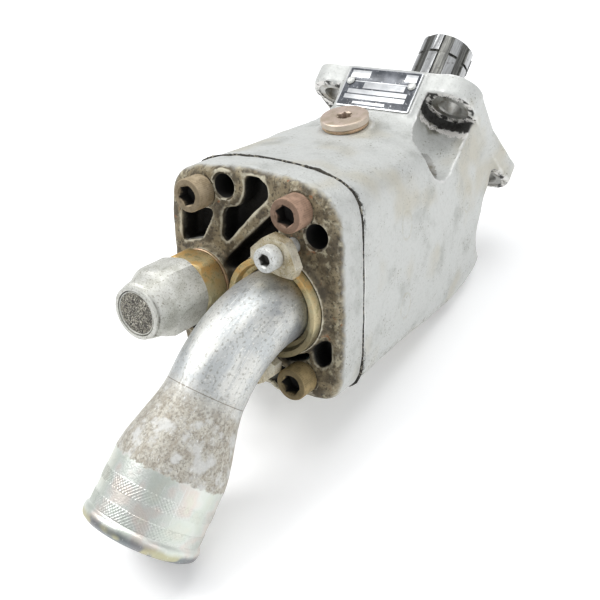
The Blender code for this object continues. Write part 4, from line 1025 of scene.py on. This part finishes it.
def makeTube(finish):
    t = tubeSizes
    tail, end = tubeRuns["tail"], tubeRuns["end"]
    runs = [k * 1.0 for k in range(0, 15, 3)] + [15 + bendLength * k / 26 for k in range(27)]
    runs += [15 + bendLength + 3, tubeRuns["seam"]]
    runs += [tubeRuns["seam"] + t["reducer"] * k / 24 for k in range(1, 25)] + [tail + 3, tail + 7]
    for low, high in knurlBands:
        steps = round((high - low) / 0.42)
        runs += [tail + low - 0.6, tail + low - 0.1]
        runs += [tail + low + (high - low) * k / steps for k in range(steps + 1)]
        runs += [tail + high + 0.1, tail + high + (0.4 if high < 20 else 0.3)]
    runs += [tail + t["bead"] + (t["tailLength"] - t["bead"]) * k / 14 for k in range(1, 15)]
    across = Vector((0, math.cos(t["lean"]), math.sin(t["lean"])))

    def ringAt(run, radius):
        place, along = tubeStation(run)
        side = along.cross(across)
        turned = Matrix((across, side, along)).transposed().to_4x4()
        return Matrix.Translation(place) @ turned, radius

    inside = [end, end - 0.6, end - 3, tail + 20, tail]
    inside += [tubeRuns["seam"] + t["reducer"] * k / 6 for k in range(5, -1, -1)]
    inside += [15 + bendLength * k / 12 for k in range(12, -1, -1)] + [0]
    count = 420
    outer = [ringAt(run, tubeRadius(run)) for run in runs]
    inner = []
    for run in inside:
        inner.append(ringAt(run, min(tubeRadius(run), t["tail"]) - t["wall"] + (0.7 if run == end else 0)))
    bm = stretched(outer + inner, count)
    bmesh.ops.recalc_face_normals(bm, faces=bm.faces)
    skin = bm.verts.layers.float_vector.new("skin")
    bm.verts.ensure_lookup_table()
    rings = runs + inside
    for number, vert in enumerate(bm.verts):
        run = rings[number // count]
        centre, along = tubeStation(run)
        out = vert.co - centre
        turn = math.atan2(out.dot(along.cross(across)), out.dot(across))
        beyond = run - tail
        if number < len(runs) * count and any(low <= beyond <= high for low, high in knurlBands):
            pitch = math.tau * t["tail"] / t["starts"]
            first = math.sin(math.pi * (beyond / pitch + turn * t["starts"] / math.tau))
            second = math.sin(math.pi * (beyond / pitch - turn * t["starts"] / math.tau))
            vert.co += out.normalized() * t["knurl"] * (min(abs(first), abs(second)) * 1.6 - 0.35)
        vert[skin] = (run, out.dot(across), out.dot(along.cross(across)))
    piece("suctionTube", bm, pump, "root", [finish], "zinc_plating", ["suction_fitting"], 50)


def makeCollar(finish):
    c, t = coverSizes, tubeSizes
    seat = c["front"] - 4.3
    collar = spun([(seat, t["radius"] + 0.3), (seat, 27.5), (seat - 6, 27.5), (seat - 6, 24.3),
                   (seat - 2.0, 23.4), (seat - 2.0, t["radius"] + 0.3)], 128, c["suction"])
    piece("suctionCollar", bevelled(collar, 0.5), pump, "root", [finish], "yellow_zinc", ["suction_collar"],
          reach=0.008)


clampSizes = {"thick": 6.0, "head": 6.5, "height": 8.0, "flats": 6.0}


def makeClamps(plateFinish, screwFinish):
    c, k = coverSizes, clampSizes
    seat = c["front"] - 10.6
    for number, (y, z) in enumerate(clampSpots(), 1):
        outward = Vector((y - c["suction"].y, z - c["suction"].z)).normalized()
        sideways = Vector((-outward.y, outward.x))
        outline = []
        for along, wide in ((9.2, -5), (9.6, 0), (9.2, 5), (6, 8.5), (-2, 14), (-7.5, 13), (-9.1, 6.5),
                            (-9.5, 0), (-9.1, -6.5), (-7.5, -13), (-2, -14), (6, -8.5)):
            point = Vector((y, z)) + outward * along + sideways * wide
            outline.append((point.x, point.y))
        bm = slab(outline, seat, seat - k["thick"])
        slope = box((seat - 30, -40, 0), (seat - 2.4, 40, 40))
        turned = Matrix.Translation((0, y, z)) @ Matrix.Rotation(math.atan2(-outward.x, outward.y), 4, "X")
        lean = Matrix.Translation((seat - 6.0, 0, 9.5)) @ Matrix.Rotation(math.radians(-24), 4, "Y")
        bm = combined(bm, moved(shifted(slope, (-seat + 2.4, 0, 0)), turned @ lean), solver="EXACT")
        hole = spun(bar(seat + 5, seat - 20, 4.3), 40, (0, y, z))
        bm = bevelled(combined(bm, hole, solver="EXACT"), 0.35, 30, 2)
        piece(f"collarClamp{number}", bm, pump, "root", [plateFinish], "zinc_plating",
              [f"suction_clamp_{number}"], reach=0.008)
        screw = socketScrew(k["head"], k["height"], 4.0, 24.0, k["flats"], 44)
        screw = moved(screw, Matrix.Rotation(math.radians(9 + 30 * number), 4, "X"))
        screw = shifted(screw, (seat - k["thick"] - 0.3, y, z))
        piece(f"collarScrew{number}", screw, pump, "root", [screwFinish], "zinc_plating",
                     [f"clamp_screw_{number}"], reach=0.010)


fittingSizes = {"adapterFlats": 33.0, "adapterLength": 16.0, "capFlats": 36.0, "capLength": 35.0,
                "stub": 14.5}


def nutBody(flats, profile, start, end, turn):  # a hexagon with its corners turned round
    return combined(hexBar(flats, start, end, turn), spun(profile, 128), "INTERSECT", "EXACT")


def makePressureFitting(adapterFinish, washerFinish, capFinish, gritFinish):
    c, f = coverSizes, fittingSizes
    seat = c["front"] - 4
    rings = [(seat - 0.3, 13.5), (seat - 0.3, 16.9), (seat - 0.6, 17.2), (seat - 0.9, 17.2),
             (seat - 1.1, 16.6), (seat - 1.3, 17.2), (seat - 1.7, 17.2), (seat - 2, 16.9), (seat - 2, 13.5)]
    piece("adapterWasher", spun(rings, 128, c["pressure"]), pump, "root", [washerFinish], "copper_washer",
          ["adapter_washer"])
    base = seat - 2.3
    hexed = base - f["adapterLength"]
    half = f["adapterFlats"] / 2
    proud = cornerRadius(f["adapterFlats"]) - 0.7  # how far the rounded corners reach
    trim = [(base + 0.1, 0), (base + 0.1, half - 0.6), (base - 0.2, half - 0.2), (base - 1.8, proud),
            (hexed + 1.8, proud), (hexed - 0.1, half - 0.4), (hexed - 0.1, 0)]
    bm = nutBody(f["adapterFlats"], trim, base, hexed, math.radians(22))
    neck = spun([(c["front"] + 10, 8), (c["front"] + 10, 13.2), (base - 1, 13.2),
                 (hexed + 1, f["stub"] - 0.1), (hexed - 10, f["stub"] - 0.1), (hexed - 12, 12.5),
                 (hexed - 12, 8)], 96)
    bm = combined(bm, neck, "UNION", "EXACT")
    bore = spun(bar(hexed - 20, c["front"] + 20, 8), 64)
    bm = shifted(combined(bm, bore, solver="EXACT"), c["pressure"])
    piece("pressureAdapter", bevelled(bm, 0.35, 35, 2), pump, "root", [adapterFinish], "yellow_zinc",
                 ["pressure_adapter"], reach=0.010)
    nut = hexed - 0.3
    front = nut - f["capLength"]
    half = f["capFlats"] / 2
    proud = cornerRadius(f["capFlats"]) - 1.2
    trim = [(nut + 0.1, 0), (nut + 0.1, half - 0.5), (nut - 0.2, half - 0.1), (nut - 1.6, proud),
            (nut - 18.5, proud), (nut - 21.5, half - 0.1), (nut - 23, 17.0), (nut - 26, 16.2),
            (front + 4, 15.3), (front + 3.2, 14.9), (front + 2.6, 14.0), (front + 1.6, 14.0),
            (front + 1.2, 14.5), (front + 0.3, 14.3), (front, 13.8), (front, 0)]
    bm = nutBody(f["capFlats"], trim, nut + 0.05, front - 1, math.radians(38))
    hole = spun([(front - 5, 0), (front - 5, 12.3), (front + 14, 12.3), (front + 16, f["stub"] + 0.3),
                 (nut + 5, f["stub"] + 0.3), (nut + 5, 0)], 96)
    bm = shifted(combined(bm, hole, solver="EXACT"), c["pressure"])
    piece("capNut", bevelled(bm, 0.4, 35, 2), pump, "root", [capFinish], "zinc_plating", ["cap_nut"],
          reach=0.010)
    profile = [(front + 0.7, 0), (front + 0.7, 11.1), (front + 0.3, 11.3), (front + 0.3, 11.6),
               (front + 0.8, 11.9), (front + 18, 11.9), (front + 18, 0)]
    bm = spun(profile, 96)
    disc = [face for face in bm.faces if abs(face.normal.x) > 0.9 and face.calc_center_median().x < front + 1
            and math.hypot(*face.calc_center_median().yz) < 11.1]
    discEdges = list({edge for face in disc for edge in face.edges})
    bmesh.ops.subdivide_edges(bm, edges=discEdges, cuts=6, use_grid_fill=True)
    for vert in bm.verts:
        if vert.co.x < front + 0.75 and math.hypot(vert.co.y, vert.co.z) < 10.9:
            vert.co.x += 0.25 * noise.noise(vert.co / 0.8)
    for face in bm.faces:
        if math.hypot(*face.calc_center_median().yz) < 11.0 and face.calc_center_median().x < front + 1:
            face.material_index = 1
    piece("capPlug", shifted(bm, c["pressure"]), pump, "root", [capFinish, gritFinish], "zinc_plating",
          ["cap_plug"])


def makeFillerPlug(finish, washerFinish):
    washer = spun([(0.3, 10.3), (0.3, 13.3), (0.6, 13.5), (1.7, 13.5), (2, 13.3), (2, 10.3)], 96)
    piece("plugWasher", washer, pump @ plugPlace, "root", [washerFinish], "copper_washer",
          ["filler_plug_washer"])
    bm = spun([(-9, 0), (-9, 10), (2.3, 10), (2.3, 13.6), (2.7, 14), (5.6, 14), (6.1, 13.6), (6.3, 13.0),
               (6.3, 0)], 128)
    star = []
    for k in range(48):
        turn = math.tau * k / 48
        radius = 4.1 + 0.75 * math.cos(6 * turn)
        star.append((radius * math.cos(turn), radius * math.sin(turn)))
    bm = combined(bm, slab(star, 1.5, 9), solver="EXACT")
    chamfer = spun([(5.8, 0), (5.8, 4.4), (7.5, 6.2), (7.5, 0)], 64)
    bm = combined(bm, chamfer, solver="EXACT")
    piece("fillerPlug", bm, pump @ plugPlace, "root", [finish], "plug_steel", ["filler_plug"], reach=0.008)


def makePlate(finish, rivetFinish):
    p = plateSizes
    bm = box((-p["width"] / 2, -p["length"] / 2, 0), (p["width"] / 2, p["length"] / 2, p["thick"]))
    corners = [edge for edge in bm.edges if abs(edge.verts[0].co.z - edge.verts[1].co.z) > 0.1]
    bmesh.ops.bevel(bm, geom=corners, offset=p["corner"], affect="EDGES", segments=5, profile=0.5,
                    material=-1)
    for y in (-p["rivetY"], p["rivetY"]):
        hole = spun(bar(-3, 3, 1.5), 32)
        hole = moved(hole, Matrix.Translation((p["rivetX"], y, 0)) @ Matrix.Rotation(-math.pi / 2, 4, "Y"))
        bm = combined(bm, hole, solver="EXACT")
    piece("ratingPlate", bevelled(bm, 0.12, 50, 2), plateFrame, "root", [finish], "plate_aluminium",
          ["rating_plate"])
    for number, y in enumerate((-p["rivetY"], p["rivetY"]), 1):
        dome = [(0.1, 0), (0.1, 1.2), (1.1, 1.2), (1.1, 2.7), (1.5, 2.65), (2.0, 2.1), (2.4, 1.2), (2.5, 0)]
        place = plateFrame @ Matrix.Translation((p["rivetX"], y, 0)) @ Matrix.Rotation(-math.pi / 2, 4, "Y")
        piece(f"plateRivet{number}", bevelled(spun(dome, 48), 0.15, 30, 2), place, "root", [rivetFinish],
              "plate_aluminium", [f"rating_plate_rivet_{number}"], 60)


shaftSizes = {"root": 16.0, "tip": 17.5, "teeth": 8, "tooth": 6.0, "length": 47.0, "end": 55.6,
              "groove": 42.2, "journal": 20.0, "disc": 34.0, "discThick": 22.5, "pistonCircle": 24.5}


def splineOutline():
    s = shaftSizes
    points = []
    halfTip, halfRoot = math.asin(s["tooth"] / 2 / s["tip"]), math.asin(s["tooth"] / 2 / s["root"])
    for tooth in range(s["teeth"]):
        turn = math.tau * tooth / s["teeth"]
        stops = [(s["root"], -halfRoot)] + [(s["tip"], halfTip * (k - 2) / 2) for k in range(5)]
        stops += [(s["root"], halfRoot + (math.tau / s["teeth"] - 2 * halfRoot) * k / 5) for k in range(5)]
        for radius, offset in stops:
            points.append((radius * math.sin(turn + offset), radius * math.cos(turn + offset)))
    return points


def makeShaft(finish):
    s = shaftSizes
    start = casingSizes["face"] + s["end"] - s["length"]
    end = casingSizes["face"] + s["end"]
    seat = casingSizes["face"] - 3.5
    spline = slab(splineOutline(), start, end)
    trim = spun([(start - 1, 0), (start - 1, 15.2), (start + 2.4, 18.5), (end - 1.8, 18.5), (end + 0.1, 15.9),
                 (end + 0.1, 0)], 128)
    spline = combined(spline, trim, "INTERSECT", "EXACT")
    groove = casingSizes["face"] + s["groove"]
    ring = spun([(groove - 1, 15.9), (groove - 1, 22), (groove + 1, 22), (groove + 1, 15.9)], 128)
    spline = combined(spline, ring, solver="EXACT")
    centre = spun([(end + 1, 0), (end + 1, 6.5), (end - 1.2, 4.2), (end - 9, 3.6), (end - 11, 0)], 64)
    spline = combined(spline, centre, solver="EXACT")
    profile = [(-1.5, 0), (-1.5, s["disc"] - 1), (-0.5, s["disc"]), (s["discThick"] + 0.3, s["disc"]),
               (s["discThick"] + 0.3, 25), (25.7, 25), (25.7, s["journal"]), (seat + 0.5, s["journal"]),
               (seat + 0.5, 19), (start - 2, 19), (start - 1, 15.5), (start + 2, 15.5), (start + 2, 0)]
    bm = combined(spun(profile, 96), spline, "UNION", "EXACT")
    sockets = [(0, 0)]
    for k in range(7):
        turn = math.tau * k / 7
        sockets.append((s["pistonCircle"] * math.sin(turn), s["pistonCircle"] * math.cos(turn)))
    for number, (y, z) in enumerate(sockets):
        ball = bmesh.new()
        bmesh.ops.create_uvsphere(ball, u_segments=24, v_segments=12, radius=7.0 if number else 8.6)
        bm = combined(bm, shifted(ball, (0, y, z)), solver="EXACT")
    piece("splinedShaft", bevelled(bm, 0.25, 35, 2), shaft, "shaft", [finish], "machined_steel",
          ["drive_shaft"])


def makeShaftSeal(rubber):
    start = casingSizes["face"] - 2.7
    lip = [(start, 22.3), (start, 28), (start + 7, 28), (start + 7, 26.4), (start + 5.2, 25.2),
           (start + 6.4, 22.2), (start + 6.6, 20.4), (start + 3.5, 19.3), (start + 2.5, 19.3)]
    piece("shaftLipSeal", bevelled(spun(lip, 128), 0.3, 30, 2), shaft, "root", [rubber], "seal_rubber",
          ["shaft_seal"])


def makeStage():
    bpy.ops.mesh.primitive_plane_add(size=8, location=(0, 0, 0))
    floor = bpy.context.object
    floor.name = "studioFloor"
    finish = Finish("paleFloor")
    tone = finish.mix(finish.patches(300, 0.3, 0.7), (0.90, 0.90, 0.90), (0.88, 0.88, 0.885))
    glow = {"Emission_Color": (1, 1, 1, 1), "Emission_Strength": 0.24}
    floor.data.materials.append(finish.done(tone, 0.85, 0.0, Specular_IOR_Level=0.1, **glow))
    world = bpy.data.worlds.new("studioAir")
    world.use_nodes = True
    air = world.node_tree.nodes["Background"].inputs
    air["Color"].default_value = (0.95, 0.97, 1.0, 1)
    air["Strength"].default_value = 0.5
    bpy.context.scene.world = world
    for name, place, size, power in (("keySoftbox", (-0.55, 0.85, 1.6), 0.8, 22.0),
                                     ("topSoftbox", (0.6, -0.2, 1.9), 1.2, 16.0),
                                     ("sideSoftbox", (-0.2, -1.6, 0.8), 0.9, 5.0)):
        lamp = bpy.data.lights.new(name, "AREA")
        lamp.size = size
        lamp.energy = power
        made = bpy.data.objects.new(name, lamp)
        made.location = place
        made.rotation_euler = (Vector((0, 0, 0.05)) - Vector(place)).to_track_quat("-Z", "Y").to_euler()
        bpy.context.scene.collection.objects.link(made)
    bpy.context.scene.view_settings.view_transform = "Standard"


def makeCamera():
    data = bpy.data.cameras.new("studioCamera")
    data.lens = 54.4
    data.sensor_width = 36.0
    made = bpy.data.objects.new("studioCamera", data)
    right, up = Vector((0.5737, -0.8186, -0.0269)), Vector((0.3545, 0.2185, 0.9091))
    back = Vector((-0.7384, -0.5312, 0.4155))
    view = Matrix((right, up, back)).transposed().to_4x4()
    view.translation = Vector((-474.3, -276.6, 190.4))
    made.matrix_world = (pump @ view).normalized()
    made.scale = (1, 1, 1)
    bpy.context.scene.collection.objects.link(made)
    bpy.context.scene.camera = made


makeCamera()
makeStage()
paint, machined = makePaint(), makeMachined()
sealant, tubeZinc, copper = makeSealant(), makeTubeFinish(), makeCopper()
capZinc = makeZinc("dustyZinc", (0.64, 0.64, 0.60), (0.50, 0.50, 0.45), (0.22, 0.20, 0.15), 0.8)
clampZinc = makeZinc("stainedZinc", (0.56, 0.50, 0.36), (0.36, 0.29, 0.16), (0.17, 0.13, 0.06), 0.8)
brightZinc = makeZinc("brightZinc", (0.68, 0.69, 0.67), (0.52, 0.53, 0.51), (0.24, 0.22, 0.17), 0.9)
yellowZinc, grit = makeYellowZinc("yellowZinc"), makeGrit()
plugFinish, shaftSteel = makePlugFinish(), makeShaftSteel()
innerSteel = makeInner("oilySteel", (0.42, 0.42, 0.42), (0.30, 0.30, 0.29), 0.22, 1.0)
innerBronze = makeInner("oilyBronze", (0.60, 0.43, 0.24), (0.44, 0.31, 0.17), 0.28, 1.0)
# near-black painted shade for hole walls and the hidden joint face
paintedShadeBlack = makeInner("paintedShadeBlack", (0.012, 0.011, 0.009), (0.008, 0.007, 0.006), 0.7, 0.0)
innerRubber = makeInner("sealRubber", (0.03, 0.03, 0.03), (0.018, 0.018, 0.018), 0.6, 0.0)
rusts = [makeRust("rustBeige", (0.42, 0.34, 0.23), (0.22, 0.17, 0.10)),
         makeRust("rustOlive", (0.34, 0.26, 0.13), (0.17, 0.13, 0.065)),
         makeRust("rustPink", (0.38, 0.25, 0.18), (0.20, 0.13, 0.085)),
         makeRust("rustGold", (0.45, 0.34, 0.16), (0.20, 0.14, 0.06))]
print("materials ready")
makeCasing([paint, machined, paintedShadeBlack])
makeCover([makeCoverFinish(), paintedShadeBlack])
makeSealantBead(sealant)
makeCoverScrews(rusts)
makeTube(tubeZinc)
makeCollar(yellowZinc)
makeClamps(clampZinc, brightZinc)
makePressureFitting(yellowZinc, copper, capZinc, grit)
makeFillerPlug(plugFinish, copper)
makePlate(makePlateFinish(), brightZinc)
makeShaft(shaftSteel)
makeShaftSeal(innerRubber)
innerFinishes = {"valve_plate": innerBronze, "suction_o_ring": innerRubber}
for name, node in frame["nodes"].items():
    if not node.hide_render:
        node.data.materials.clear()
        node.data.materials.append(innerFinishes.get(name, innerSteel))
print("pieces ready")
